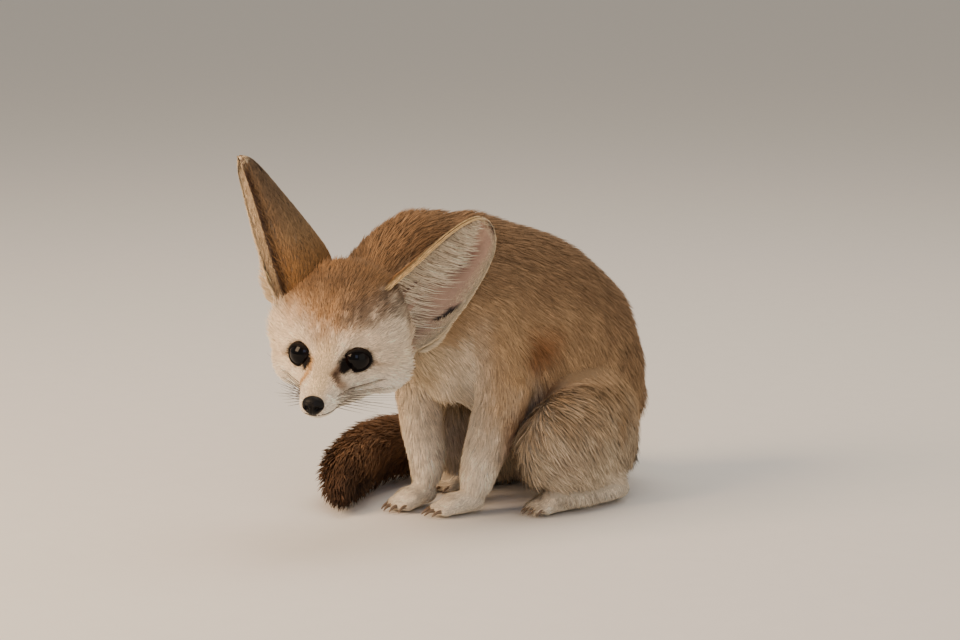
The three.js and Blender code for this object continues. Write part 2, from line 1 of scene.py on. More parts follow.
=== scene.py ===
import math
import bpy
import numpy as np
from mathutils import Matrix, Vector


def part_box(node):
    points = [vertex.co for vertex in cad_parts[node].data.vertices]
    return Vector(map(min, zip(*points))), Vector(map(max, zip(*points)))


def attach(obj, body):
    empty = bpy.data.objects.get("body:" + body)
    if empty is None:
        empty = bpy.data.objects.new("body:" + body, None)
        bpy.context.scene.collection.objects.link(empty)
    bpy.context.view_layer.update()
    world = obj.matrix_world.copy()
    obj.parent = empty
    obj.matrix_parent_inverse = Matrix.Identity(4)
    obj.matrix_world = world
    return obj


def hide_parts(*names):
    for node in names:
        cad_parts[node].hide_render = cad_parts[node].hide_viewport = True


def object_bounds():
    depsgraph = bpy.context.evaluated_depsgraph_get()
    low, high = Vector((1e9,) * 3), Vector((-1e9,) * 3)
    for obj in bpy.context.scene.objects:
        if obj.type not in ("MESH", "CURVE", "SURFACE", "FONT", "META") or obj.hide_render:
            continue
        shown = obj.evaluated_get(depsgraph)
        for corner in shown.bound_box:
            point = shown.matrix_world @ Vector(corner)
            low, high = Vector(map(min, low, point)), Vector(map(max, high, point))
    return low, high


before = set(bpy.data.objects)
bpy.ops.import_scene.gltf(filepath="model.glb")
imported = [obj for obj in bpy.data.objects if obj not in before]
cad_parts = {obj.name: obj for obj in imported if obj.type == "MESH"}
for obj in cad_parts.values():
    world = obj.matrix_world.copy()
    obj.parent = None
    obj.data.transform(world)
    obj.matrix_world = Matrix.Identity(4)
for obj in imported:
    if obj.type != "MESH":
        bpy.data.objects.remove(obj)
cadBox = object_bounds()
print("the solids are in place")

mm = 0.001  # metres in a millimetre
rng = np.random.default_rng(20)
sides = {"left": 1, "right": -1}

# All shapes are worked out in millimetres in the fox's own frame: X to its left, Y to its rump, Z up.
# The head has a frame of its own: Y to the back of the skull, its origin between the eyes
headPose = {"place": (18.4, -180.3, 112.6), "yaw": 34, "pitch": 16, "roll": 3.6}
eye = {"place": (15.6, -1, 0.5), "radius": 9, "turn": 20, "raise": 10, "wide": 16.4, "high": 11.6,
       "bulge": 0.035, "slack": 0.9, "behind": 2}


# A vector, or each row of an array, over its length
def unit(v):
    v = np.asarray(v, float)
    return v / np.maximum(np.linalg.norm(v, axis=-1, keepdims=True), 1e-12)


# 0 at "low" and before, 1 at "high" and past it, and three squares less two cubes between them
def step(low, high, value):
    t = np.clip((value - low) / (high - low), 0, 1)
    return t * t * (3 - 2 * t)


# A bell: e to the minus square of the distance from its middle over its width
def bell(value, middle, wide):
    return np.exp(-((value - middle) / wide) ** 2)


# The matrix of a turn about axis 0, 1 or 2
def turned(axis, degrees):
    cosine, sine = math.cos(math.radians(degrees)), math.sin(math.radians(degrees))
    i, j = [(1, 2), (2, 0), (0, 1)][axis]
    matrix = np.eye(3)
    matrix[i, i] = matrix[j, j] = cosine
    matrix[i, j], matrix[j, i] = -sine, sine
    return matrix


headTurn = turned(2, headPose["yaw"]) @ turned(0, headPose["pitch"]) @ turned(1, headPose["roll"])
headX, headY, headZ = headTurn.T
eyeTurns = {side: turned(2, side * eye["turn"]) @ turned(0, -eye["raise"]) for side in sides.values()}


# From the head's frame to the fox's: turned, then moved
def fromHead(points):
    return np.asarray(points, float) @ headTurn.T + headPose["place"]


# From the fox's frame to the head's
def toHead(points):
    return (np.asarray(points, float) - headPose["place"]) @ headTurn


# From the frame of the left (1) or right (-1) eye, where -Y looks out, X is across and Z is up
def fromEye(points, side):
    return fromHead(points @ eyeTurns[side].T + np.array(eye["place"]) * (side, 1, 1))


# From the fox's frame to an eye's
def toEye(points, side):
    return (toHead(points) - np.array(eye["place"]) * (side, 1, 1)) @ eyeTurns[side]


# The solids stand with the middle of their box at the origin: the left eye tells how far that is
shift = np.mean(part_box("eye_left"), axis=0) - fromHead(eye["place"]) * mm


# Value noise: random numbers on a lattice, blended smoothly between its eight nearest points
def noise(points, size, seed):
    table = np.random.default_rng(seed).random((32, 32, 32))
    p = np.asarray(points, float) / size
    cell = np.floor(p).astype(int)
    f = p - cell
    f = f * f * (3 - 2 * f)
    total = 0
    for corner in range(8):
        o = np.array([corner & 1, corner >> 1 & 1, corner >> 2 & 1])
        i = (cell + o) % 32
        weight = np.prod(np.where(o == 1, f, 1 - f), axis=1)
        total = total + weight * table[i[:, 0], i[:, 1], i[:, 2]]
    return total


# A smooth curve through the rows of "points" at shares t of the whole: the Catmull-Rom spline whose
# knots lie as far apart as the square root of the distance between points
def spline(points, t):
    p = np.asarray(points, float)
    last = len(p) - 1
    p = np.vstack([2 * p[0] - p[1], p, 2 * p[-1] - p[-2]])
    place = np.clip(t, 0, 1) * last
    k = np.minimum(place.astype(int), last - 1)
    u = (place - k)[:, None]
    a, b, c, d = (p[k + i] for i in range(4))
    gaps = [np.linalg.norm(y - x, axis=1, keepdims=True) ** 0.5 for x, y in ((a, b), (b, c), (c, d))]
    middle = np.where(gaps[1] < 1e-4, 1, gaps[1])
    first, third = (np.where(g < 1e-4, middle, g) for g in (gaps[0], gaps[2]))
    s1 = ((b - a) / first - (c - a) / (first + middle) + (c - b) / middle) * middle
    s2 = ((c - b) / middle - (d - b) / (middle + third) + (d - c) / third) * middle
    return b + s1 * u + (3 * (c - b) - 2 * s1 - s2) * u**2 + (2 * (b - c) + s1 + s2) * u**3


# A path through sections (x, y, z, half-width, half-height): its middle, the way it runs, its two
# cross directions and its two half-sizes at each share
def pathOf(sections, t, across=(1, 0, 0), along=None):
    s = np.asarray(sections, float)
    way = unit(spline(s[:, :3], t + 1e-3) - spline(s[:, :3], t - 1e-3))
    if along is not None:
        way = np.tile(np.array(along, float), (len(t), 1))
    side = unit(np.array(across, float) - way * (way @ np.array(across, float))[:, None])
    return {"centre": spline(s[:, :3], t), "way": way, "side": side, "up": np.cross(way, side),
            "size": spline(s[:, 3:5], t)}


# Quads of a grid of rows, each of them a closed ring of points
def gridFaces(rows, columns):
    r, c = np.meshgrid(np.arange(rows - 1), np.arange(columns), indexing="ij")
    n = (c + 1) % columns
    low, high = r * columns, (r + 1) * columns
    return np.stack([low + c, low + n, high + n, high + c], -1).reshape(-1, 4)


# Rings of points joined into one closed skin, with a point at each end
def closedSkin(rings, first, last):
    rows, columns = rings.shape[:2]
    points = np.vstack([rings.reshape(-1, 3), first, last])
    c = np.arange(columns)
    n = (c + 1) % columns
    base = (rows - 1) * columns
    ends = [np.stack([np.full(columns, len(points) - 2), n, c], 1)]
    ends.append(np.stack([np.full(columns, len(points) - 1), base + c, base + n], 1))
    return points, [gridFaces(rows, columns), np.vstack(ends)]


# A body along a path: ellipses, drawn a little square by "power", with a rounded cap at each end that
# is as long as "ends" times the smaller half-size
def loft(sections, inset=0, across=(1, 0, 0), along=None, power=2, ends=(0.6, 0.6), rows=50, columns=40):
    s = np.array(sections, float)
    s[:, 3:5] = np.maximum(s[:, 3:5] - np.reshape(inset, (-1, 1)), 0.8)
    caps = np.linspace(0, math.pi / 2, 8)[:-1]
    turn = np.concatenate([-caps[::-1], np.zeros(rows - 2), caps])
    t = np.concatenate([np.zeros(len(caps)), np.linspace(0, 1, rows)[1:-1], np.ones(len(caps))])
    path = pathOf(s, t, across, along)
    reach = np.where(t < 0.5, ends[0], ends[1]) * path["size"].min(1)
    centre = path["centre"] + path["way"] * (np.sin(turn) * reach)[:, None]
    angle = np.arange(columns) / columns * 2 * math.pi
    bend = lambda x: np.sign(x) * np.abs(x) ** (2 / power)
    a = bend(np.cos(angle)) * (path["size"][:, :1] * np.cos(turn)[:, None])
    b = bend(np.sin(angle)) * (path["size"][:, 1:] * np.cos(turn)[:, None])
    rings = centre[:, None] + a[..., None] * path["side"][:, None] + b[..., None] * path["up"][:, None]
    poles = [path["centre"][i] + path["way"][i] * reach[i] * way for i, way in ((0, -1), (-1, 1))]
    return closedSkin(rings, *poles)


# A unit ball as rings about its Y axis, at angles of latitude and longitude
def ball(rows=24, columns=32):
    lat = np.linspace(-math.pi / 2, math.pi / 2, rows + 2)[1:-1, None]
    lon = np.arange(columns)[None] / columns * 2 * math.pi
    rings = np.stack([np.cos(lat) * np.cos(lon), np.sin(lat) + 0 * lon, -np.cos(lat) * np.sin(lon)], -1)
    return closedSkin(rings, (0, -1, 0), (0, 1, 0))


# Faces as triangles: a quad gives two, both from its first corner
def trianglesOf(faces):
    return np.vstack([f[:, [0, i, i + 1]] for f in faces for i in range(1, f.shape[1] - 1)])


# Faces turned round where a closed skin's volume, a sum of triple products, comes out negative
def facingOut(points, faces):
    a, b, c = (points[corner] for corner in trianglesOf(faces).T)
    return [f[:, ::-1] for f in faces] if (a * np.cross(b, c)).sum() < 0 else faces


# Several closed skins as one list of points and one of faces
def together(skins):
    points, threes, fours, start = [], [], [], 0
    for vertices, faces in skins:
        points.append(vertices)
        for f in faces:
            (threes if f.shape[1] == 3 else fours).append(f + start)
        start += len(vertices)
    return np.vstack(points), [np.vstack(f) for f in (threes, fours) if f]


# A new object in the scene; "axes" are its right, up and back, and "place" is in metres
def put(name, data, axes=None, place=(0, 0, 0)):
    thing = bpy.data.objects.new(name, data)
    bpy.context.scene.collection.objects.link(thing)
    if axes is not None:
        matrix = np.eye(4)
        matrix[:3, :3], matrix[:3, 3] = np.transpose(axes), place
        thing.matrix_world = Matrix(matrix.tolist())
    return thing


# A mesh object from points in millimetres and sets of faces with three or four corners
def makeMesh(name, points, faceSets, check=True):
    mesh = bpy.data.meshes.new(name)
    sizes = np.concatenate([np.full(len(f), f.shape[1]) for f in faceSets])
    corners = np.concatenate([f.ravel() for f in faceSets]).astype(np.int32)
    mesh.vertices.add(len(points))
    mesh.vertices.foreach_set("co", (np.asarray(points) * mm + shift).astype(np.float32).ravel())
    mesh.loops.add(len(corners))
    mesh.loops.foreach_set("vertex_index", corners)
    mesh.polygons.add(len(sizes))
    mesh.polygons.foreach_set("loop_start", np.concatenate([[0], np.cumsum(sizes)[:-1]]).astype(np.int32))
    mesh.polygons.foreach_set("use_smooth", np.ones(len(sizes), bool))
    mesh.update(calc_edges=True)
    if check:
        mesh.validate()
    return put(name, mesh)


# One value of all vertices, corners or faces of a mesh, as an array
def readAll(items, key, width=1, kind=np.int32):
    values = np.empty(len(items) * width, kind)
    items.foreach_get(key, values)
    return values


# A colour for each point, kept in the mesh as an attribute that the material reads
def setColour(piece, colour):
    attribute = piece.data.attributes.new("coatColour", "FLOAT_COLOR", "POINT")
    rgba = np.hstack([colour, np.ones((len(colour), 1))]).astype(np.float32)
    attribute.data.foreach_set("color", rgba.ravel())


# What a finished piece gets: its material, its body and the hiding of the nodes that it stands for; "slot" is
# not used
def dress(piece, material, slot, *nodes):
    piece.data.materials.append(material)
    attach(piece, "root")
    if nodes:
        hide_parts(*nodes)


# sRGB hex to linear colour
def linear(hexColour):
    c = np.array([int(hexColour[i:i + 2], 16) for i in (1, 3, 5)]) / 255
    return np.where(c <= 0.04045, c / 12.92, ((c + 0.055) / 1.055) ** 2.4)


# One node with its settings; an input is named with _ for a space, or numbered as in i3
def addNode(tree, kind, settings=None, **inputs):
    node = tree.nodes.new(kind)
    for key, value in (settings or {}).items():
        setattr(node, key, value)
    for key, value in inputs.items():
        socket = node.inputs[int(key[1:]) if key[1:].isdigit() else key.replace("_", " ")]
        if isinstance(value, bpy.types.NodeSocket):
            tree.links.new(value, socket)
        else:
            socket.default_value = value
    return node


# A material with its patterns on Object coordinates. Its colour is a blend of two tones by noise, or
# else the mesh's own, which noise may shade between two factors. "pattern" is that noise's scale and
# detail. "grain" is the scale, strength and depth in metres of a bump, of fine noise or of pebbles.
# Scales are in repeats to a metre: 1000 over the size in mm
def makeMaterial(name, pattern=None, tones=None, shades=None, grain=None, pebbles=False, **values):
    material = bpy.data.materials.new(name)
    material.use_nodes = True
    tree = material.node_tree
    tree.nodes.clear()
    place = addNode(tree, "ShaderNodeTexCoord").outputs["Object"]
    if pattern:
        texture = addNode(tree, "ShaderNodeTexNoise", Vector=place, Scale=pattern[0], Detail=pattern[1])
    if tones:
        blend = addNode(tree, "ShaderNodeMix", {"data_type": "RGBA"}, Factor=texture.outputs["Fac"],
                        i6=(*tones[0], 1), i7=(*tones[1], 1))
        colour = blend.outputs[2]
    else:
        colour = addNode(tree, "ShaderNodeAttribute", {"attribute_name": "coatColour"}).outputs["Color"]
    if shades:
        factor = addNode(tree, "ShaderNodeMapRange", Value=texture.outputs["Fac"], i3=shades[0], i4=shades[1])
        tint = addNode(tree, "ShaderNodeVectorMath", {"operation": "SCALE"}, i0=colour,
                       Scale=factor.outputs["Result"])
        colour = tint.outputs["Vector"]
    if grain:
        scale, strength, depth = grain
        if pebbles:
            height = addNode(tree, "ShaderNodeTexVoronoi", Vector=place, Scale=scale).outputs["Distance"]
        else:
            height = addNode(tree, "ShaderNodeTexNoise", Vector=place, Scale=scale, Detail=3.0).outputs["Fac"]
        bump = addNode(tree, "ShaderNodeBump", {"invert": pebbles}, Strength=strength, Distance=depth,
                       Height=height)
        values["Normal"] = bump.outputs["Normal"]
    shader = addNode(tree, "ShaderNodeBsdfPrincipled", Base_Color=colour, **values)
    addNode(tree, "ShaderNodeOutputMaterial", Surface=shader.outputs["BSDF"])
    return material


# The camera stands where the photographer did: "origin" is the pixel of the fox frame's origin in a
# picture of 960 by 640, and the focal length is 3000 pixels
view = {"azimuth": 48, "elevation": 9, "distance": 1900, "focal": 3000, "origin": (535, 495),
        "wide": 960, "high": 640, "sensor": 36}
azimuth, elevation = math.radians(view["azimuth"]), math.radians(view["elevation"])
rightward = np.array([math.cos(azimuth), math.sin(azimuth), 0])
nearward = np.array([math.sin(azimuth), -math.cos(azimuth), 0])


# The camera looks at the middle of the picture, which lies as many pixels off the fox's origin as the
# view says, at the size that a pixel has there
def makeCamera():
    back = nearward * math.cos(elevation) + (0, 0, math.sin(elevation))
    up = np.cross(back, rightward)
    pixel = view["distance"] / view["focal"]
    target = rightward * (view["wide"] / 2 - view["origin"][0]) * pixel
    target = target + up * (view["origin"][1] - view["high"] / 2) * pixel
    data = bpy.data.cameras.new("camera")
    data.sensor_width = view["sensor"]
    data.lens = view["sensor"] * view["focal"] / view["wide"]
    place = (target + back * view["distance"]) * mm + shift
    bpy.context.scene.camera = put("camera", data, (rightward, up, back), place)


# The parts' sections, root to tip: (x, y, z, half-width, half-height); the skull's are (y, half-width,
# top, bottom) in the head's frame
torsoSections = [(0, 62, 50, 30, 35), (0, 46, 63, 40, 50), (0, 18, 86, 44, 65), (0, -10, 107, 44, 64.5),
                 (-3, -40, 121, 41, 61), (-8, -67, 129, 37, 60), (-12, -89, 131, 29, 47)]
neckSections = [(-10, -62, 160, 25, 27), (-14, -88, 157, 28, 32), (-13, -114, 144, 27, 30),
                (-6, -137, 130, 25, 27)]
skullSections = [(48, 33, 37, -25), (33, 40, 42, -31), (16, 41, 39, -33), (4, 35, 29, -33),
                 (-4, 25, 18, -32), (-12, 18, 8, -30), (-22, 14, 0, -27.5), (-31, 11.8, -5.5, -26),
                 (-37, 9.5, -8, -23)]
cheek = {"place": (25, 19, -13), "size": (17, 21, 17), "inset": 2}
forelegSections = {
    "left": [(21, -54, 120, 16, 26), (28, -51, 88, 16, 21), (24, -56, 58, 13, 16), (17, -61, 32, 11, 12),
             (15, -63, 17, 10, 10.5)],
    "right": [(-30, -66, 114, 15, 24), (-33, -68, 84, 14, 19), (-29, -70, 56, 11.5, 14),
              (-24, -70, 32, 10, 11.5), (-22, -71, 17, 9.5, 10)],
}
pawPlaces = {
    "fore_left": [(15, -63, 9), (9, -79, 7.5)],
    "fore_right": [(-22, -71, 9), (-21, -88, 7.5)],
    "hind_left": [(46, 30, 8.4), (47, 0, 7.8), (45, -31, 7.5)],
    "hind_right": [(-46, 30, 8.4), (-47, 0, 7.8), (-45, -31, 7.5)],
}
paw = {"wide": 11.5, "heel": 0.8, "high": 8, "toe": 4.6, "toeLong": 7, "longer": 3, "spread": 4.7,
       "fan": 0.8, "knuckle": 1.6, "inset": 0.8}
thighSections = [(30, 48, 44, 14, 36), (36, 24, 45, 21, 46), (42, -6, 44, 22, 43), (44, -31, 41, 17, 33),
                 (43, -45, 39, 11, 22)]
shankSections = [(43, -30, 40, 12, 16), (45, -2, 28, 12, 14), (46, 26, 17, 9, 11)]
tailSections = [(-4, 66, 28, 14, 14), (-26, 86, 19, 16, 16), (-66, 78, 18, 20, 20), (-93, 30, 22, 25, 25),
                (-96, -18, 24, 27, 27), (-86, -62, 25, 28, 27), (-67, -98, 21, 23, 23), (-38, -128, 12, 4, 4)]


# Sections for one side: X takes its sign
def mirrored(sections, side):
    return [(side * s[0], *s[1:]) for s in sections]


# The skull's sections as places in the fox's frame; its width lies along the head's X
def skullPath():
    rows = [(0, y, (top + bottom) / 2, wide, (top - bottom) / 2)
            for y, wide, top, bottom in skullSections[::-1]]
    return [(*fromHead(row[:3]), *row[3:]) for row in rows]


# A paw's sections: its width grows evenly from the heel's to the whole
def pawPath(places):
    last = len(places) - 1
    return [(*p, paw["wide"] * (paw["heel"] + (1 - paw["heel"]) * i / last), paw["high"])
            for i, p in enumerate(places)]


# Root, tip and way of each toe: they lie side by side and fan out, and the two middle ones reach further
def toes(places):
    end, before = np.array(places[-1], float), np.array(places[-2], float)
    way = unit((end - before) * (1, 1, 0))
    side = np.cross(way, (0, 0, 1))
    found = []
    for place in (-1.5, -0.5, 0.5, 1.5):
        root = end + side * place * paw["spread"] * 0.9
        root[2] = paw["toe"] + paw["knuckle"]
        reach = paw["toeLong"] + (paw["longer"] if abs(place) < 1 else 0)
        tip = root + way * reach + side * place * paw["fan"]
        tip[2] = paw["toe"]
        found.append((root, tip, way))
    return found


# Each part: its path, how deep its skin lies under the coat, its cross directions if they are fixed,
# the lengths of its caps, the way that its hair runs (1 along the path, -1 against it, 0 for the way of
# the haunch) and its hair: length, width, angle off the skin in degrees, tufts to a square
# millimetre, how far its locks draw together, and whether it has the bend of long hair
hairKeys = ("long", "wide", "lift", "dense", "draw", "bends")
parts = {
    "torso": {"path": torsoSections, "inset": 4.2, "power": 2.1, "run": -1,
              "hair": (11, 0.66, 17, 0.97, 0.18, 0)},
    "neck": {"path": neckSections, "inset": 4.6, "run": -1, "hair": (11.5, 0.68, 20, 0.9, 0.15, 1)},
    "skull": {"path": skullPath(), "inset": [1, 1.2, 1.4, 1.6, 1.6, 1.6, 1.6, 1.8, 2.2], "across": headX,
              "along": headY, "ends": (0.45, 0.5), "run": 1, "hair": (6, 0.5, 22, 2.6, 0.25, 0)},
    "tail": {"path": tailSections, "inset": [4, 5, 8, 12, 13, 13.5, 11, 2.5], "across": (0, 0, 1),
             "ends": (0.7, 0.9), "run": 1, "hair": (18, 0.85, 21, 0.64, 0.12, 1)},
}
limbs = {
    "foreleg": {"inset": [3.5, 1.8, 0.2, 0, 0.6], "ends": (0.5, 0.3), "run": 1,
                "hair": (8, 0.57, 19, 1.25, 0.3, 0)},
    "forepaw": {"inset": 1.2, "ends": (0.7, 0.5), "run": 1, "hair": (3, 0.45, 14, 2.4, 0.15, 0)},
    "thigh": {"inset": 5, "ends": (0.5, 0.6), "run": 0, "hair": (14.5, 0.78, 17, 0.9, 0.12, 1)},
    "shank": {"inset": 2.5, "ends": (0.5, 0.6), "run": 1, "hair": (7, 0.62, 16, 1.25, 0.3, 0)},
    "hindpaw": {"inset": 1.2, "ends": (0.7, 0.5), "run": 1, "hair": (3.2, 0.45, 14, 2.4, 0.15, 0)},
}
for name, side in sides.items():
    paths = {"foreleg": forelegSections[name], "forepaw": pawPath(pawPlaces["fore_" + name]),
             "thigh": mirrored(thighSections, side), "shank": mirrored(shankSections, side),
             "hindpaw": pawPath(pawPlaces["hind_" + name])}
    for limb, settings in limbs.items():
        parts[limb + "_" + name] = {"path": paths[limb], **settings}
thighFlow = (0.6, 0.36, -0.72)  # hair runs outwards, back and down over the haunch


# Those of the named settings that a part has
def having(part, *keys):
    return {key: part[key] for key in keys if key in part}


# One skin for the whole body: the parts' lofts, inset by the coat's depth, are made one by voxels, then
# smoothed most where two parts are equally near, and little on the paws
skinMake = {"voxel": 1.6, "even": 8, "melt": 40, "meltWidth": 5, "fold": 0.6, "paw": 0.05, "pawReach": 4}


# The lofts of all parts, with the cheeks as ellipsoids and the toes
def rawSkin():
    skins = [loft(part["path"], part["inset"], **having(part, "across", "along", "power", "ends"))
             for part in parts.values()]
    for side in sides.values():
        points, faces = ball()
        points = points * (np.array(cheek["size"]) - cheek["inset"]) + np.array(cheek["place"]) * (side, 1, 1)
        skins.append((fromHead(points), faces))
    size = paw["toe"] - paw["inset"]
    for places in pawPlaces.values():
        for root, tip, way in toes(places):
            skins.append(loft([(*root, size, size + 0.6), (*tip, size, size - 0.2)], ends=(0.8, 1), rows=8,
                              columns=16))
    return together(skins)


# The edges of faces, each once, as pairs of points
def edgesOf(faces):
    pairs = np.concatenate([np.stack([f, np.roll(f, -1, 1)], -1).reshape(-1, 2) for f in faces])
    return np.unique(np.sort(pairs, 1), axis=0)


# Each value moves by "amount" of the way to the mean of its neighbours, as many times as said
def smoothed(values, edges, amount, times):
    count = np.bincount(edges.ravel(), minlength=len(values))[:, None]
    here, there = np.concatenate([edges, edges[:, ::-1]]).T
    amount = np.reshape(amount, (-1, 1))
    for _ in range(times):
        sums = [np.bincount(here, values[there, i], len(values)) for i in range(values.shape[1])]
        values = values + amount * (np.stack(sums, 1) / np.maximum(count, 1) - values)
    return values


# The sum of the normals of each point's triangles, by their areas, at length one
def vertexNormals(points, triangles):
    a, b, c = (points[corner] for corner in triangles.T)
    face = np.cross(b - a, c - a)
    sums = [np.bincount(triangles.ravel(), np.repeat(face[:, i], 3), len(points)) for i in range(3)]
    return unit(np.stack(sums, 1))


# How far each point lies outside every part, and the place on each part's path that it belongs to:
# the ellipsoid along the path, one of 28, that it lies least outside of
def nearestPlaces(points):
    found = {}
    for name, part in parts.items():
        t = np.linspace(0, 1, 28)
        path = pathOf(part["path"], t, **having(part, "across", "along"))
        radius = path["size"].min(1)
        best = np.full(len(points), 1e9)
        chosen = np.zeros(len(points), int)
        for i in range(len(t)):
            v = points - path["centre"][i]
            a = v @ path["side"][i] / path["size"][i, 0]
            b = v @ path["up"][i] / path["size"][i, 1]
            c = v @ path["way"][i] / radius[i]
            outside = (np.sqrt(a * a + b * b + c * c) - 1) * radius[i]
            closer = outside < best
            best[closer], chosen[closer] = outside[closer], i
        v = points - path["centre"][chosen]
        angle = np.arctan2((v * path["up"][chosen]).sum(1), (v * path["side"][chosen]).sum(1))
        found[name] = {"outside": best, "share": t[chosen], "angle": angle, "way": path["way"][chosen]}
    return found


# The raw skin through a voxel remesh, evened out and melted together at its folds
def makeSkin():
    piece = makeMesh("skin_rough", *rawSkin())
    melt = piece.modifiers.new("melt", "REMESH")
    melt.mode = "VOXEL"
    melt.voxel_size = skinMake["voxel"] * mm
    whole = piece.evaluated_get(bpy.context.evaluated_depsgraph_get()).data
    points = (readAll(whole.vertices, "co", 3, np.float32).reshape(-1, 3).astype(float) - shift) / mm
    corners = readAll(whole.loops, "vertex_index")
    starts = readAll(whole.polygons, "loop_start")
    sizes = np.diff(np.append(starts, len(corners)))
    faces = [corners[starts[sizes == n][:, None] + np.arange(n)] for n in (3, 4) if (sizes == n).any()]
    bpy.data.objects.remove(piece)
    edges = edgesOf(faces)
    points = smoothed(points, edges, 0.5, skinMake["even"])
    near = nearestPlaces(points)
    outside = np.sort(np.stack([n["outside"] for n in near.values()], 1), 1)
    fold = np.exp(-(outside[:, 1] - outside[:, 0]) / skinMake["meltWidth"])
    tiny = np.stack([near[n]["outside"] for n in near if "paw" in n], 1).min(1) < skinMake["pawReach"]
    amount = np.where(tiny, skinMake["paw"], skinMake["fold"] * fold)
    return smoothed(points, edges, amount, skinMake["melt"]), faces, edges


# Behind the opening of the lids the skin sinks into the eyeball, onto a smaller ball
def sinkAtEyes(points):
    wide, high = eye["wide"] / 2 + eye["slack"], eye["high"] / 2 + eye["slack"]
    for side in sides.values():
        q = toEye(points, side)
        ring = np.hypot(q[:, 0] / wide, q[:, 2] / high)
        inside = step(1.3, 0.95, ring) * (q[:, 1] < 2)
        sunk = unit(q) * (eye["radius"] - eye["behind"])
        points = points + (fromEye(q + (sunk - q) * inside[:, None], side) - points) * (inside > 0)[:, None]
    return points


makeCamera()
skinPoints, skinFaces, skinEdges = makeSkin()
skinPoints = sinkAtEyes(skinPoints)
skinTriangles = trianglesOf(skinFaces)
skinNormals = vertexNormals(skinPoints, skinTriangles)
skinNear = nearestPlaces(skinPoints)
print("the skin is melted together:", len(skinPoints), "points,", len(skinTriangles), "triangles")

# The colours of the coat and the ears, as they are in even light, with painted shade among them: the
# rust brown also stands for shade in the thighs' folds, and most of the ears' darks for shade in the cup
# under and between the long hairs, in its hollow, along the right ear's inner edge and in the pouch's slit
colours = {
    "cream": "#ecd7ba", "white": "#f5e9d6", "gold": "#9f6f3a", "crown": "#6b5138", "grizzle": "#665444",
    "bridge": "#d8bf98", "tear": "#3f2b1d", "tearLow": "#8a6444", "tearRight": "#bb8542", "corner": "#8a6540",
    "liner": "#150d09", "back": "#8f7153", "flank": "#ad8d68", "chest": "#dac29f", "belly": "#ecdcc2",
    "rust": "#7d4f2b", "legTop": "#b8966e", "leg": "#eedfc7", "haunch": "#d5c1a3", "haunchDark": "#8c745b",
    "tail": "#8b6747", "tailDark": "#644731", "tailTip": "#513a29", "nape": "#8f6d4b",
    "earBack": "#9a7b57", "earTip": "#6a5542", "cup": "#b5937c", "shadeUnderHairs": "#5a4236", "hollowShade": "#603328",
    "rim": "#dfbd88", "edge": "#e2cba6", "hair": "#ecd8bb", "hairShade": "#7b5f4a", "pouch": "#20130e",
    "line": "#38271b",
}
colours = {name: linear(value) for name, value in colours.items()}


# A colour, or one for each point, moved towards another by an amount for each point
def mixed(a, b, amount):
    return a + (b - a) * np.reshape(amount, (-1, 1))


# Layers of colour over a first one, each with its name and its amount at each point
def painted(first, *layers):
    colour = colours[first]
    for name, amount in layers:
        colour = mixed(colour, colours[name], amount)
    return colour


# How much each part has to say at a point: e to the minus distance outside it, over the sum of all
def partShares(near, soft=3):
    outside = np.stack([n["outside"] for n in near.values()], 1)
    weight = np.exp(-(outside - outside.min(1, keepdims=True)) / soft)
    return dict(zip(near, (weight / weight.sum(1, keepdims=True)).T))


# How near points are to a line through a few places: 1 on it, 0 past its half-width and soft edge
def streak(points, line, wide, soft=1.5):
    nearest = np.full(len(points), 1e9)
    for a, b in zip(np.array(line[:-1], float), np.array(line[1:], float)):
        t = np.clip((points - a) @ (b - a) / ((b - a) @ (b - a)), 0, 1)
        nearest = np.minimum(nearest, np.linalg.norm(points - a - t[:, None] * (b - a), axis=1))
    return step(wide + soft, wide, nearest)


# How far a point lies from the middle of an eye's opening, where 1 is its edge; "corner" draws it out
# over the dark skin at the inner corner, in mm
def eyeRing(points, corner=1):
    rings = []
    wide, high = eye["wide"] / 2, eye["high"] / 2
    for side in sides.values():
        q = toEye(points, side)
        drawn = corner * bell(q[:, 0] * side, -9.5, 4)
        ring = np.hypot((q[:, 0] + side * drawn) / wide, (q[:, 2] + 0.6 * drawn) / high)
        rings.append(np.where(q[:, 1] < 3, ring, 9))
    return np.minimum(*rings)


# Lines on the head along which colours lie, and the centres and sizes of patches of colour
marks = {
    "tear": [(10.2, -13.5, 0.4), (7.3, -20.5, -3.1), (9.9, -22, -7.1), (14.5, -18.5, -13)],
    "tearRight": [(-7.6, -14, 2.5), (-7.6, -18.5, -2), (-9.4, -21, -5.5), (-13, -20, -11)],
    "corner": [(24, -2, -1), (32, 6, -4.5)],
    "rimFoot": [(25.2, 36.1, 27.7), (23.6, 26.5, 29.9), (21.3, 20.5, 30.4)],
    "brow": [(11, 4, 25), (22, 9, 24), (28, 18, 26), (35, 27, 15), (30, 31, 25)],
    "rightRoot": (-34, 26, 20),
    "elbow": ((35, -34, 106), (25, 17, 16)),
    "haunch": ((58, -12, 52), (20, 17, 19)),
}


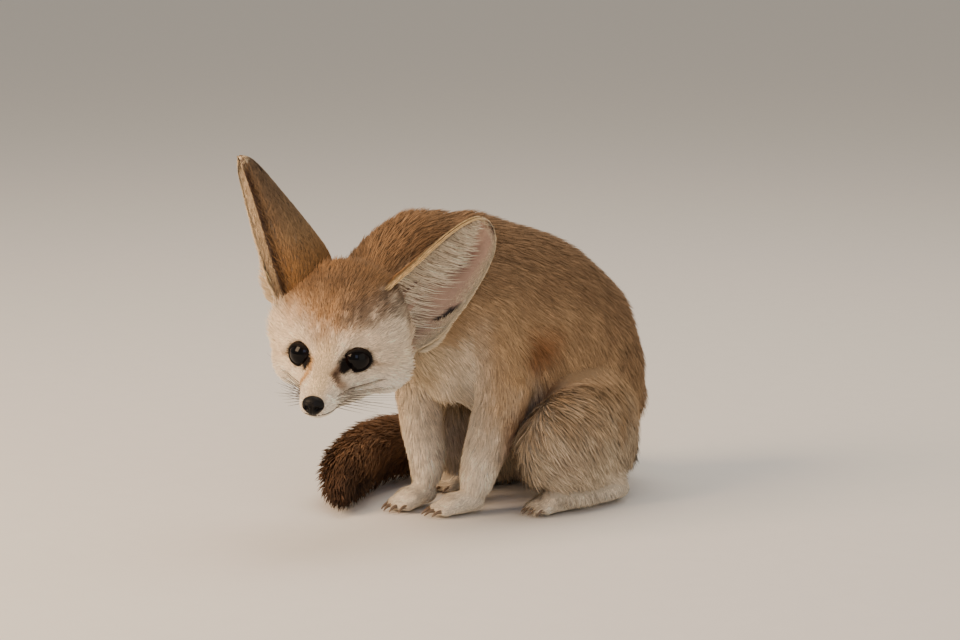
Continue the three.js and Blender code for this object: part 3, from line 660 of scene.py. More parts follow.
# The head's colours: a cream face under a golden forehead, whose edge runs down between the eyes; a
# browner crown, grey-brown fur at the ears' roots, a dark streak below the left eye's inner corner and
# an orange one below the right. Bounds are in mm in the head's frame, made ragged by noise that is
# drawn out along the hair
def headColour(points):
    x, y, z = points.T
    across = np.abs(x)
    drawn = points * (1, 0.35, 0.5)
    ragged = (noise(drawn, 2.2, 5) - 0.5) * 9 + (noise(drawn, 0.8, 6) - 0.5) * 4
    edge = 14 + np.where(x > 0, 0.62, 0.34) * across
    golden = step(-13, 9, z + np.maximum(y - 24, 0) - edge + 1.2 * ragged)
    golden = golden * (0.78 + 0.22 * noise(drawn, 1.1, 7))
    brow = streak(points, marks["brow"], 4.5, 8) * step(-4, 2, ragged + 1.5)
    rightRoot = step(16, 6, np.linalg.norm((points - marks["rightRoot"]) * (1, 1, 0.8), axis=1) + ragged)
    corners = [streak(points, mirrored(marks["corner"], side), 0.8, 2) for side in sides.values()]
    return painted(
        "cream",
        ("white", step(-4, -20, z + ragged * 0.4)),
        ("gold", golden * 0.92),
        ("crown", step(24, 46, z + 0.5 * y + ragged) * golden * 0.9),
        ("gold", 0.3 * step(12, 30, y) * step(-14, 6, z + ragged)),
        ("grizzle", np.clip(0.8 * brow + 0.3 * rightRoot, 0, 1)),
        ("cream", 0.7 * streak(points, marks["rimFoot"], 0.7, 2.2)),
        ("bridge", 0.75 * step(8, 3, across) * step(-4, -12, y) * step(-16, -6, z)),
        ("tearLow", 0.75 * streak(points, marks["tear"], 1.2, 3.4) * step(-16, -8, z)),
        ("tear", 0.9 * streak(points, marks["tear"][:3], 0.6, 2.2) * step(-11, -3, z)),
        ("tearRight", 0.85 * streak(points, marks["tearRight"], 0.6, 2.8)),
        *(("corner", 0.7 * corner) for corner in corners),
        ("liner", step(1.26, 1.14, eyeRing(fromHead(points), 2.6))))


# The colours of the whole coat, blended by the parts' shares: sandy back, lighter sides, pale chest,
# belly and legs, a rust patch over the elbow, painted shade of rust brown in the thighs' folds, pale
# haunches with painted brown shadows and a brown brush, darker at its end. Also how much a dark tip shades
# each tuft
def coatColours(points, near, part):
    ragged = (noise(points, 9, 1) - 0.5) * 2 + (noise(points, 3.5, 2) - 0.5)
    fine = noise(points, 2.2, 3)
    x, y, z = points.T
    height = {name: np.sin(near[name]["angle"]) for name in ("torso", "neck")}  # -1 below, 1 above
    back = step(-0.1, 0.9, height["torso"] + 0.25 * ragged)
    torso = painted("flank", ("back", back),
                    ("belly", step(-0.5, -0.95, height["torso"] + 0.2 * ragged) * step(40, 10, y)),
                    ("chest", step(-66, -98, y + 8 * ragged) * step(128, 98, z + 6 * ragged)))
    neck = painted("chest", ("nape", step(-0.35, 0.6, height["neck"] + 0.25 * ragged)))
    brush = near["tail"]["share"] + 0.03 * ragged
    tail = painted("tail", ("tailDark", 0.8 * fine), ("tailTip", step(0.8, 0.95, brush)),
                   ("flank", step(0.3, 0.12, brush)))
    found = {"torso": torso, "neck": neck, "skull": headColour(toHead(points)), "tail": tail}
    for name in near:
        if name.startswith("foreleg"):
            outer = step(-0.2, 0.7, np.cos(near[name]["angle"]) * np.sign(x))
            found[name] = painted("leg", ("legTop", step(22, 96, z + 14 * ragged) * (0.45 + 0.55 * outer)))
        elif name.startswith("thigh"):
            middle = (np.stack([np.abs(x), y, z], 1) - marks["haunch"][0]) / marks["haunch"][1]
            shade = 0.35 * step(0.42, 0.72, fine) + 0.25 * step(30, 5, z) + 0.5 * step(-5, 40, y + 8 * ragged)
            shade = shade + 0.4 * step(1.2, 0.2, np.linalg.norm(middle, axis=1) + 0.3 * ragged)
            found[name] = painted("haunch", ("haunchDark", np.clip(shade, 0, 1)),
                                  ("flank", 0.95 * step(44, 80, z + 12 * ragged)))
        elif name.startswith("shank"):
            found[name] = painted("haunch", ("leg", 0.6 + 0 * z))
        elif "paw" in name:
            found[name] = painted("leg", ("leg", 0 * z))
    base = sum(part[name][:, None] * found[name] for name in near)
    patch = np.linalg.norm((points - marks["elbow"][0]) / marks["elbow"][1], axis=1)
    base = mixed(base, colours["rust"], 0.8 * step(1.25, 0.25, patch + 0.3 * ragged))
    thighs = [part["thigh_" + name] for name in sides]
    # Painted shade: rust brown in the folds at the thighs' fronts, most where a thigh and the body share a
    # point evenly
    foldShade = 4 * sum(share * (1 - share) for share in thighs)
    base = mixed(base, colours["rust"], 0.75 * foldShade * step(-8, -24, y) * step(20, 45, z))
    dark = 0.55 * part["torso"] * (0.4 + 0.6 * back) + 0.5 * part["neck"]
    dark = dark + 0.25 * part["skull"] * step(5, 20, toHead(points)[:, 2])
    return base, dark + 0.55 * sum(thighs) + 0.5 * part["tail"]


# The ears: each is a sheet bent round its own length, widest under its middle, with a rounded tip.
# Its back is furred, its cup is bare pink skin under long white hairs from the inner edge. "inner" is
# the sign of that edge, "rim" the colour along it, which on the right ear is a dark line of painted
# shadow, "lining" the width of the pale fur inside the outer one, "slit" its pouch, painted near black
# inside as shade
ear = {"long": 91, "thick": 2.0, "wide": 54, "taper": 2.4, "blunt": 0.36, "hold": 0.14, "narrow": 0.78,
       "full": 0.3, "wrapBase": 213, "wrapTip": 106, "inset": 0.6, "rows": 90, "columns": 60, "sunk": 0.09}
ears = {
    "left": {"root": (34, 32, 8), "tip": (69.5, 104.5, 41.5), "opens": (0.95, -0.45, 0.17), "fold": 0.82,
             "inner": 1, "flare": (-9, -2, 1), "rim": "rim", "lining": 0.3, "slit": 1},
    "right": {"root": (-37, 37.5, 13.8), "tip": (-73.8, 68.4, 91.1), "opens": (-0.758, -0.565, -0.326),
              "fold": 1.21, "inner": -1, "flare": (0, 0, 0), "rim": "line", "lining": 0.85, "slit": 0},
}


# How close points are to the roots of the ears, and the way that the nearer ear grows
def atEarRoots(points):
    near, grow = np.zeros(len(points)), np.zeros((len(points), 3))
    for e in ears.values():
        way = unit(np.array(e["tip"], float) - e["root"])
        v = toHead(points) - e["root"] - unit(e["opens"]) * 8
        along = v @ way
        off = np.linalg.norm(v - along[:, None] * way, axis=1)
        close = step(30, 17, off) * step(-26, -8, along)
        grow[close > near] = headTurn @ way
        near = np.maximum(near, close)
    return near, grow


# Directions laid onto a surface: what they have along its normal is taken out
def laid(way, normal):
    return unit(way - normal * (way * normal).sum(1, keepdims=True))


# The lie of the coat: each part's hair runs along its path, blended where parts meet, laid onto the
# skin and evened out. The torso's hangs, more so over the thighs, the cheeks' droops and the head's
# spreads from its middle, and at the ears it grows with them
def coatFlow():
    part = partShares(skinNear)
    flow = np.zeros_like(skinPoints)
    for name, settings in parts.items():
        way = skinNear[name]["way"] * settings["run"]
        if name == "torso":
            thighs = np.minimum(*(skinNear["thigh_" + side]["outside"] for side in sides))
            way = way + (0, 0, -1) * (0.45 + 1.2 * step(20, 4, thighs))[:, None]
        elif name == "skull":
            x, y, z = toHead(skinPoints).T
            droop = -0.7 * (step(-2, -14, z) * step(-10, 12, y))
            spread = 0.35 * np.sign(x) * step(4, 24, np.abs(x))
            way = way + headZ * droop[:, None] + headX * spread[:, None]
        elif name.startswith("thigh"):
            way = np.array(thighFlow) * (1 if name.endswith("left") else -1, 1, 1)
        flow += part[name][:, None] * way
    near, grow = atEarRoots(skinPoints)
    flow = flow + grow * (1.4 * near * part["skull"])[:, None]
    for _ in range(3):
        flow = smoothed(laid(flow, skinNormals), skinEdges, 0.5, 12)
    return laid(flow, skinNormals), part


# Coat of fur: hair lies over hair, so it is matt, with hardly a sheen, and flecked every 1.4 mm; its
# colour is in the mesh. The underfur between the tufts is shorn stuff with a grain of 0.7 mm
furry = {"pattern": (700.0, 2.0), "shades": (0.82, 1.14), "Roughness": 0.72, "Specular_IOR_Level": 0.14,
         "Sheen_Weight": 0.03, "Sheen_Roughness": 0.5}
fur = makeMaterial("fox fur", **furry)
underfur = makeMaterial("short underfur", grain=(1400.0, 0.5, 0.0006), **furry)

skinFlow, skinShare = coatFlow()
skinBase, skinDark = coatColours(skinPoints, skinNear, skinShare)
skin = makeMesh("skin", skinPoints, skinFaces)
setColour(skin, skinBase * 0.72)
flesh = ["torso", "neck", "head", "tail_root", "tail_middle", "tail_tip"]
flesh += [limb + name for limb in ("foreleg_", "forepaw_", "hindleg_", "hindpaw_") for name in sides]
dress(skin, underfur, "coat", *flesh)
print("the skin has its colours")


# Roots spread evenly over the skin, "density" to a square millimetre at each point: steps along the
# running sum of the triangles' shares, each at a random place in its triangle
def scatter(density):
    a, b, c = (skinPoints[corner] for corner in skinTriangles.T)
    area = np.linalg.norm(np.cross(b - a, c - a), axis=1) / 2
    total = np.cumsum(area * density[skinTriangles].mean(1))
    steps = np.arange(0.5, total[-1])
    which = np.searchsorted(total, steps + rng.uniform(-0.5, 0.5, len(steps)))
    which = np.clip(which, 0, len(total) - 1)
    u, v = rng.random((2, len(which)))
    over = u + v > 1
    u[over], v[over] = 1 - u[over], 1 - v[over]
    weights = np.stack([1 - u - v, u, v], 1)
    corners = skinTriangles[which]
    return lambda values: (values[corners] * weights.reshape(-1, 3, *[1] * (values.ndim - 1))).sum(1)


# Three-sided blades, all closed: "centres" holds each one's middle at its stations, from a point
# under the skin to its tip, and "wide" its width at the stations between. Its normals are bent to the
# skin's, so that the coat is shaded as one soft surface. "lowest" keeps it off the floor
blade = {"flat": 0.45, "round": 0.55, "lowest": 0.25, "lit": 0.9, "patch": 0.003}


def makeBlades(name, centres, wide, side, normal, tones, uv):
    stations, count = centres.shape[:2]
    rings = stations - 2
    each = 2 + 3 * rings
    points, normals, rgb, patch = (np.empty((count, each, n)) for n in (3, 3, 3, 2))
    for end in (0, -1):
        points[:, end], normals[:, end], rgb[:, end] = centres[end], normal, tones[end]
    patch[:, 0], patch[:, -1] = (0, -0.5), (0, 0.5)
    for r in range(rings):
        for k, (a, b) in enumerate(((-1, -0.35), (1, -0.35), (0, 1))):
            out = side * a + normal * (b * blade["flat"])
            row = 1 + 3 * r + k
            points[:, row] = centres[r + 1] + out * (wide[r] / 2)[:, None]
            normals[:, row] = unit(normal + blade["round"] * out)
            rgb[:, row] = tones[r + 1]
            patch[:, row] = (0.5 * a, (r + 1) / (rings + 1) - 0.5)
    points[:, 1:, 2] = np.maximum(points[:, 1:, 2], blade["lowest"])
    normals = unit(normals + np.clip(-blade["lit"] * normals[..., 2:], 0, 1) * (0, 0, 1))
    at = lambda r, k: 1 + 3 * r + k % 3
    threes = [(0, at(0, k + 1), at(0, k)) for k in range(3)]
    threes += [(each - 1, at(rings - 1, k), at(rings - 1, k + 1)) for k in range(3)]
    fours = [(at(r, k), at(r, k + 1), at(r + 1, k + 1), at(r + 1, k))
             for r in range(rings - 1) for k in range(3)]
    start = np.arange(count)[:, None, None] * each
    faces = [(np.array(f) + start).reshape(-1, len(f[0])) for f in (threes, fours) if f]
    piece = makeMesh(name, points.reshape(-1, 3), faces, check=False)
    setColour(piece, np.clip(rgb.reshape(-1, 3), 0, 1))
    bent = piece.data.attributes.new("custom_normal", "FLOAT_VECTOR", "POINT")
    bent.data.foreach_set("vector", normals.astype(np.float32).ravel())
    layer = piece.data.uv_layers.new(name="OFBake")
    corners = np.concatenate([f.ravel() for f in faces])
    flatUv = (uv[:, None] + patch * blade["patch"]).reshape(-1, 2)
    layer.data.foreach_set("uv", flatUv[corners].astype(np.float32).ravel())
    dress(piece, fur, "coat")
    return sum(len(f) * (f.shape[1] - 2) for f in faces)


# Hair that grows from the skin. Each tuft leaves it at an angle and bends down to lie along it; its
# neighbours' tips are drawn together in small locks. "clump" is a lock's size in mm, "swirl" and
# "stray" turn the hair aside by patches and one by one, "vary" and the shades are spreads
hairy = {"clump": 4.5, "warp": 4, "curl": 0.42, "swirl": 0.6, "stray": 0.14, "vary": 0.26, "shade": 0.13,
         "lockShade": 0.1, "draw": 1.6, "sink": 1.2, "darkTips": 0.45}
# The head's hair: its length in mm and its angle in degrees on the face, and what each region adds
headHair = {"face": (4, 20), "temple": (5, 16), "muzzle": (-2.1, 0), "cheek": (6, 6), "crown": (3.5, 3),
            "crest": (4.5, 28), "earRoot": (4, 0)}


# The hair's settings at each point of the skin: those of its parts, by their shares, and on the head
# those of its regions. It is shorter round the eyes, under the body, behind the hindfeet and at the
# tail's root, hangs under the brush, and doesn't grow on eyes, nose pad and soles
def hairSettings():
    weights = np.stack([skinShare[name] for name in parts], 1)
    found = {key: weights @ np.array([float(part["hair"][i]) for part in parts.values()])
             for i, key in enumerate(hairKeys)}
    local = toHead(skinPoints)
    x, y, z = local.T
    across = np.abs(x)
    regions = {
        "temple": step(24, 34, -x) * step(0, 15, y) * step(28, 12, z) * step(-8, 2, z),
        "muzzle": step(-6, -22, y),
        "cheek": step(16, 30, across) * step(0, 22, y) * step(10, -8, z),
        "crown": step(14, 34, z) * step(0, 20, y),
        "crest": step(18, 34, y) * step(30, 20, across) * step(8, 22, z),
        "earRoot": atEarRoots(skinPoints)[0],
    }
    long, lift = headHair["face"]
    for name, amount in regions.items():
        long = long + headHair[name][0] * amount
        lift = lift + headHair[name][1] * amount
    onHead = {"long": long, "wide": 0.43 + 0.03 * long, "lift": lift, "dense": 2.8 - 0.19 * (long - 1.9),
              "draw": 0.2 + 0.2 * regions["cheek"], "bends": regions["cheek"]}
    for key, value in onHead.items():
        found[key] = found[key] * (1 - skinShare["skull"]) + value * skinShare["skull"]
    tail, brush = skinShare["tail"], skinNear["tail"]["share"]
    found["long"] *= tail * (1 - 0.62 * step(0.3, 0.08, brush)) + 1 - tail
    found["long"] *= 1 - 0.3 * tail * step(0.9, 1, brush)
    found["lift"] *= 1 - 0.3 * tail * step(0.3, 0.1, brush)
    ring = eyeRing(skinPoints)
    found["long"] *= 0.45 + 0.55 * step(1.1, 1.9, ring)
    height, normalZ = skinPoints[:, 2], skinNormals[:, 2]
    under = step(-0.3, -0.9, normalZ) * step(60, 30, height)
    behind = step(0.1, 0.6, skinNormals[:, 1]) * step(38, 14, height) * (1 - tail)
    found["long"] *= (1 - 0.5 * under * (1 - tail)) * (1 - 0.65 * behind)
    found["lift"] += 26 * under * tail * step(0.1, 0.3, brush)
    pad = np.linalg.norm((local - nose["place"]) / nose["size"], axis=1)
    sole = (height < 1.6) & (normalZ < -0.3)
    found["dense"] *= (ring > 1.1) * (pad > 1.02) * ~sole
    return found


# Where a part's patch lies in the coat's map: a tile for each part, as long as its path and as wide
# as the way round it
def mapPlace(index, share, angle):
    tile = np.stack([index % 5, index // 5], 1)
    inside = np.stack([0.05 + 0.9 * share, 0.05 + 0.9 * (angle / (2 * math.pi) % 1)], 1)
    return (tile + inside) / (5, 4)


# The pieces that the coat is kept in: a name and the tufts that belong to it
def coatGroups(names, owner, root):
    left = root[:, 0] > 0
    facing = toHead(root)[:, 0] > 0
    own = {name: owner == names.index(name) for name in names}
    groups = {"head_left": own["skull"] & facing, "head_right": own["skull"] & ~facing, "neck": own["neck"],
              "torso_left": own["torso"] & left, "torso_right": own["torso"] & ~left, "tail": own["tail"]}
    others = ("skull", "neck", "torso", "tail", "thigh_left", "thigh_right")
    legs = ~np.any([own[name] for name in others], axis=0)
    for name, onSide in (("left", left), ("right", ~left)):
        groups["haunch_" + name] = own["thigh_" + name]
        groups["legs_" + name] = onSide & legs
    return groups


# The coat: tufts at scattered roots along the lie of the hair. A tuft's middle leaves its root at its
# angle, curls back by the square of the way along it, and is pulled to the mean tip of its lock, the
# tufts whose roots share a cell of a warped grid
def makeCoat():
    settings = hairSettings()
    at = scatter(settings["dense"])
    root, normal = at(skinPoints), unit(at(skinNormals))
    count = len(root)
    names = list(parts)
    owner = at(np.stack([skinShare[n] for n in names], 1)).argmax(1)
    mine = lambda value: at(np.stack([value(skinNear[n]) for n in names], 1))[np.arange(count), owner]
    turn = np.arctan2(mine(lambda n: np.sin(n["angle"])), mine(lambda n: np.cos(n["angle"])))
    uv = mapPlace(owner, mine(lambda n: n["share"]), turn)
    flow = laid(at(skinFlow), normal)
    astray = (noise(root, 14, 11) - 0.5) * hairy["swirl"] + rng.normal(0, hairy["stray"], count)
    flow = flow * np.cos(astray)[:, None] + np.cross(normal, flow) * np.sin(astray)[:, None]
    side = np.cross(normal, flow)
    long = at(settings["long"]) * np.exp(np.clip(rng.normal(0, hairy["vary"], count), -0.6, 0.34))
    long = long * (0.85 + 0.3 * noise(root, 8, 12))
    lift = np.radians(at(settings["lift"]) * (0.7 + 0.6 * rng.random(count)))
    warped = root + hairy["warp"] * np.stack([noise(root, 5, 20 + i) for i in range(3)], 1)
    cell = np.floor(warped / hairy["clump"]).astype(int)
    _, lock = np.unique(cell @ np.array([73856093, 19349663, 83492791]), return_inverse=True)
    members = np.bincount(lock)
    rise = np.sin(lift) * (1 - hairy["curl"])
    tip = root + (flow * np.cos(lift)[:, None] + normal * rise[:, None]) * long[:, None]
    pull = np.stack([np.bincount(lock, tip[:, i])[lock] / members[lock] for i in range(3)], 1) - tip
    reach = np.maximum(np.linalg.norm(pull, axis=1), 1e-6)
    pull *= (np.minimum(1, 0.3 * long / reach) * at(settings["draw"]) * hairy["draw"])[:, None]
    lockShade = rng.normal(0, hairy["shade"], count) + rng.normal(0, hairy["lockShade"], len(members))[lock]
    tone = at(skinBase) * np.exp(lockShade)[:, None]
    tipped = at(skinDark) * (rng.random(count) < hairy["darkTips"])
    bends = at(settings["bends"]) > 0.5
    width = at(settings["wide"])
    sink = np.minimum(hairy["sink"], 0.12 * long)
    kinds = {"fur": (~bends, (0, 0.42, 1), (1,)), "locks": (bends, (0, 0.3, 0.68, 1), (1.1, 0.8))}
    total = 0
    for group, mask in coatGroups(names, owner, root).items():
        for kind, (fits, stations, taper) in kinds.items():
            chosen = mask & fits
            if chosen.sum() < 30:
                continue
            p, n, f, g = (v[chosen] for v in (root, normal, flow, pull))
            L, a, deep, dark = (v[chosen][:, None] for v in (long, lift, sink, tipped))
            centres, tones = [], []
            for s in stations:
                up = np.sin(a) * (s - hairy["curl"] * s * s) * L - deep * (1 - s)
                centres.append(p + f * np.cos(a) * L * s + n * up + g * s * s)
                tones.append(tone[chosen] * (0.84 + 0.2 * min(1, s / 0.5)) * (1 - dark * step(0.5, 1, s)))
            wide = [width[chosen] * t for t in taper]
            name = "coat_" + group + "_" + kind
            total += makeBlades(name, np.stack(centres), wide, side[chosen], n, tones, uv[chosen])
    print("the coat has", total, "triangles")


# The nose pad: an ellipsoid with a flat top, comma-shaped nostrils and a groove down its middle
nose = {"place": (0, -38.5, -13.4), "size": (6.6, 4.6, 6.2), "nostril": (3.0, -0.6), "radius": 1.5,
        "depth": 2.3, "slit": 0.75, "wing": 0.35, "foldShade": 0.55, "flat": 0.09, "narrow": 0.22}

makeCoat()


# A place on the back of a cup at a share of the ear's length and of the way round it, where -1 and 1
# are its edges: the arc's half-angle falls from root to tip, and its radius is the width's half over
# the sine of that angle; the inner edge's foot runs out over the crown by "flare". Also the way out
# of the sheet there, the ear's own way and its open side
def earPlace(which, share, around):
    e = ears[which]
    share, around = np.broadcast_arrays(np.asarray(share, float), np.asarray(around, float))
    root = np.array(e["root"], float)
    way = unit(np.array(e["tip"]) - root)
    opens = np.array(e["opens"], float)
    opens = unit(opens - way * (way @ opens))
    s = np.clip(share, 0, 1)
    wrap = np.radians(ear["wrapBase"] + (ear["wrapTip"] - ear["wrapBase"]) * s) * e["fold"] / 2
    swell = ear["narrow"] + (1 - ear["narrow"]) * np.sin(np.minimum(s / ear["full"], 1) * math.pi / 2)
    width = np.maximum(ear["wide"] * swell * (1 - s ** ear["taper"]) ** ear["blunt"], ear["thick"])
    radius = width / 2 / np.sin(np.minimum(wrap, math.pi / 2))
    angle = wrap * around
    away = np.sin(angle)[..., None] * np.cross(opens, way) - np.cos(angle)[..., None] * opens
    point = root + way * (ear["long"] * share)[..., None] + away * radius[..., None]
    chord = radius * np.cos(wrap)
    point = point + opens * (chord + ear["hold"] * (radius - chord))[..., None]
    flare = np.clip(1 - share / 0.3, 0, 1) ** 1.5 * step(0.45, 1, around * e["inner"])
    return point + flare[..., None] * e["flare"], away, way, opens


pouch = [(27, -23), (45, -30)]  # the ends of the slit in the outer edge: up the ear and round it, in mm


# How near places on an ear are to the slit of its pouch, whose line is made uneven by noise
def nearPouch(which, share, across):
    flat = np.stack([share * ear["long"], across * 32, 0 * share], -1).reshape(-1, 3)
    flat = flat + (noise(flat, 2.5, 61)[:, None] - 0.5) * (0, 2.4, 0)
    return streak(flat, [(*p, 0) for p in pouch], 1.0, 1.9).reshape(np.shape(share)) * ears[which]["slit"]


# How near places are to the hollow behind the long hairs, which is painted darker as shade: a bell each way
def nearHollowShade(share, across):
    return bell(across, -0.36, 0.2) * bell(share, 0.7, 0.17)


# An ear's sheet: rows that are dense near the tip and sunk into the head below the root. Low folds of
# gristle run up the cup from its root, and the pouch is a slit between two of them
def makeEar(which):
    e = ears[which]
    turn = np.linspace(-ear["sunk"], 1, ear["rows"])
    rows = np.where(turn < 0, turn, np.sin(np.maximum(turn, 0) * math.pi / 2))
    share, around = np.meshgrid(rows, np.linspace(-1, 1, ear["columns"]), indexing="ij")
    point, away, way, opens = earPlace(which, share, around)
    across = around * e["inner"]
    rim = np.sqrt(np.clip(1 - np.abs(around) ** 10, 0, 1))
    rim = rim * np.sqrt(np.clip(1 - np.clip(share, 0, 1) ** 40, 0.02, 1))
    thick = (ear["thick"] - ear["inset"]) * rim
    middle = point - away * (ear["inset"] + (ear["thick"] - ear["inset"]) / 2)
    ridges = ((-0.28, 0.07, 1.3), (0.02, 0.09, 1.6), (0.36, 0.08, 1.2))  # place across, width, height
    folds = sum(high * bell(across - at, 0.25 * share, wide) for at, wide, high in ridges)
    folds = folds * step(0.75, 0.1, share) - 0.7 * nearPouch(which, share, across)
    outer = middle + away * (thick / 2)[..., None]
    inside = middle - away * (thick / 2 + folds * rim)[..., None]
    rings = np.concatenate([outer, inside[:, ::-1]], 1)
    points, faces = closedSkin(rings, rings[0].mean(0), rings[-1].mean(0))
    # each point's share, its place across the ear, and whether it lies in the cup
    flat = lambda back, front, ends: np.append(np.concatenate([back, front[:, ::-1]], 1).ravel(), ends)
    s, a = flat(share, share, (0, 1)), flat(across, across, (0, 0))
    cup = flat(0 * share, 1 + 0 * share, (0, 0))
    fine = noise(points, 3, 31) - 0.5
    back = painted("earBack", ("earTip", step(0.3, 0.9, s + 0.5 * fine)))
    # Painted shade: the cup's inner half, under the long hairs, is darker, and darkest in its hollow
    front = painted("cup", ("shadeUnderHairs", step(-0.2, 0.1, a + 0.3 * fine) * step(1, 0.75, s)),
                    ("hollowShade", 0.95 * nearHollowShade(s, a)))
    front = front * (0.86 + 0.28 * noise(points, 1.6, 32))[:, None]
    lined = step(e["lining"] - 1, e["lining"] - 1.15, a) * (1 - e["slit"])
    front = mixed(front, colours["edge"] * 0.8, 0.8 * lined)
    # Painted shade: the slit of the pouch is near black
    front = mixed(front, colours["pouch"], nearPouch(which, s, a))
    colour = mixed(mixed(back, front, cup), colours["edge"], step(0.86, 0.98, np.maximum(-a, s ** 3)))
    # Painted shadow: on the right ear the inner edge is a dark line, the shade that its near edge casts; on
    # the left it is a pale rim
    colour = mixed(colour, colours[e["rim"]], step(0.9, 0.97, a) * step(0.98, 0.9, s))
    points = fromHead(points)
    piece = makeMesh("ear_" + which + "_sheet", points, facingOut(points, faces))
    setColour(piece, np.clip(colour, 0, 1))
    dress(piece, earSkin, "coat", "ear_" + which)


# Hairs of an ear as paths on its sheet. From a place at "share" and "around", a hair climbs by "rise"
# and runs round by "turn", standing off by "lift" of its length; at the edges its normal leans out
# over the edge, as the fur there is seen from both sides
def earHairs(which, share, around, rise, turn, long, lift, wide, colour, onBack=False,
             stations=(0, 0.42, 1), dark=0.66):
    centres = []
    for s in stations:
        climb = np.minimum(share + rise * s, 1.008)
        point, away, way, opens = earPlace(which, np.minimum(climb, 1), around + turn * (s - 0.25 * s * s))
        point = point + way * (ear["long"] * np.maximum(climb - 1, 0))[:, None]
        out = away if onBack else -away
        stand = lift * (s - 0.45 * s * s) * long - 0.5 * (1 - s) + (0 if onBack else ear["thick"])
        centres.append(fromHead(point + out * stand[:, None]))
    over = step(0.72, 0.98, np.abs(around))[:, None]
    tip = step(0.93, 1, share)[:, None]
    edgeward = np.cross(way, away) * np.sign(around)[:, None]
    lean = opens * (0.5 + 0.7 * ears[which]["slit"])
    facing = out if onBack else unit(out + 0.7 * opens)
    normal = facing * (1 - over) * (1 - tip) + (edgeward + lean) * over + (way + lean) * tip
    along = unit(centres[-2] - centres[0])
    normal = laid(normal @ headTurn.T, along)
    tone = colour * np.exp(rng.normal(0, hairy["shade"], len(share)))[:, None]
    tones = [tone * (dark + (1.04 - dark) * min(1, s / 0.6)) for s in stations]
    angle = (around * 0.5 + (0.5 if onBack else 1.5)) * math.pi * 0.98
    uv = mapPlace(np.full(len(share), 17 if which == "left" else 18), np.clip(share, 0, 1), angle)
    return {"centres": np.stack(centres), "tones": np.stack(tones), "wide": np.full(len(share), wide),
            "side": np.cross(normal, along), "normal": normal, "uv": uv}


tufted = {"back": 9000, "rim": 3200, "edge": 2600, "fuzz": 2600, "sweep": 2600}
earLong = ear["long"]


# Short hair all over the back, brown and darker towards the tip, with a few dark spots near it and the
# rim's colour at the inner edge, which on the right ear is a dark line of painted shadow
def backHairs(which):
    inner, n = ears[which]["inner"], tufted["back"]
    share, around = 1 - rng.random(n) ** 0.8, rng.uniform(-0.97, 0.97, n)
    across = around * inner
    long = (6.5 - 3.6 * share) * np.exp(rng.normal(0, 0.2, n))
    flat = np.stack([share * 60, around * 20, 0 * share], 1)
    spots = step(0.5, 0.62, noise(flat, 2.6, 41)) * bell(share, 0.83, 0.09) * bell(across, 0.45, 0.22)
    colour = painted("earBack", ("earTip", 0.75 * step(0.1, 0.8, share + 0.3 * (noise(flat, 4, 42) - 0.5))),
                     ("gold", 0.6 * step(0.42, 0.1, share)),
                     ("pouch", 0.85 * spots),
                     ("edge", 0.8 * step(0.88, 0.96, -across)),
                     (ears[which]["rim"], 0.8 * step(0.9, 0.97, across) * step(1, 0.9, share)))
    turn = rng.normal(0, 0.05, n)
    return [earHairs(which, share, around, long / earLong, turn, long, 0.2, 0.55, colour, True)]


# Short hair on both faces of the edges, in the rim's own colour on the inner one, which on the right
# ear is a dark line of painted shadow
def rimHairs(which):
    e, n = ears[which], tufted["rim"]
    inner = e["inner"]
    share = np.where(rng.random(n) < 0.2, 1 - 0.12 * rng.random(n) ** 2, rng.random(n))
    sign = np.where(rng.random(n) < 0.55, inner, -inner)
    share = np.where(sign == inner, share, share ** 1.3)
    around = sign * (1 - np.where(sign == inner, 0.1, 0.035) * rng.random(n))
    top = step(0.9, 1, share)
    around *= 1 - top * rng.random(n)
    foot = step(0.34, 0.1, share) * (sign != inner)
    long = (2.6 + 7 * e["lining"] * foot - 1.3 * top) * np.exp(rng.normal(0, 0.2, n))
    colour = painted("edge", (e["rim"], (sign == inner) * step(0.97, 0.85, share)))
    found = []
    for onBack in (True, False):
        half = rng.random(n) < 0.5
        values = (v[half] for v in (share, around, 0.8 * long / earLong, sign * (0.02 + 0.1 * foot), long,
                                    0.2 + 0.3 * foot))
        found.append(earHairs(which, *values, 0.5, colour[half], onBack, dark=0.8))
    return found


# Pale hair inside the outer edge, as wide as the ear's lining, and down all over the cup, painted darker
# as shade on its inner half, under the long hairs, and in its hollow; neither grows in the pouch
def cupHairs(which):
    inner, lining = ears[which]["inner"], ears[which]["lining"]
    found = []
    for kind, bounds in (("edge", (-1, lining - 1)), ("fuzz", (-0.85, 0.95))):
        n = tufted[kind]
        share = rng.random(n)
        share = share * 0.95 if kind == "edge" else share ** 0.8
        across = rng.uniform(*bounds, n)
        keep = nearPouch(which, share, across) < 0.2
        share, across = share[keep], across[keep]
        n = len(share)
        if kind == "edge":
            long = (3 - 1.2 * share + 2 * lining) * np.exp(rng.normal(0, 0.25, n))
            colour = painted("cup", ("edge", 0.25 + 0.7 * step(lining - 1, lining - 1.2, across)))
            rise, turn, wide, dark = 0.85, inner * 0.03 * rng.normal(0, 1, n), 0.45, 0.8
        else:
            long = 2.4 * np.exp(rng.normal(0, 0.25, n))
            colour = painted("cup", ("hair", 0.35 * rng.random(n)),
                             ("hairShade", 0.6 * step(-0.2, 0.1, across)),
                             ("hollowShade", 0.9 * nearHollowShade(share, across)))
            rise, turn, wide, dark = 0.8, -inner * 0.05 + 0 * share, 0.42, 0.85
        found.append(earHairs(which, share, across * inner, rise * long / earLong, turn, long, 0.12, wide,
                              colour, dark=dark))
    return found
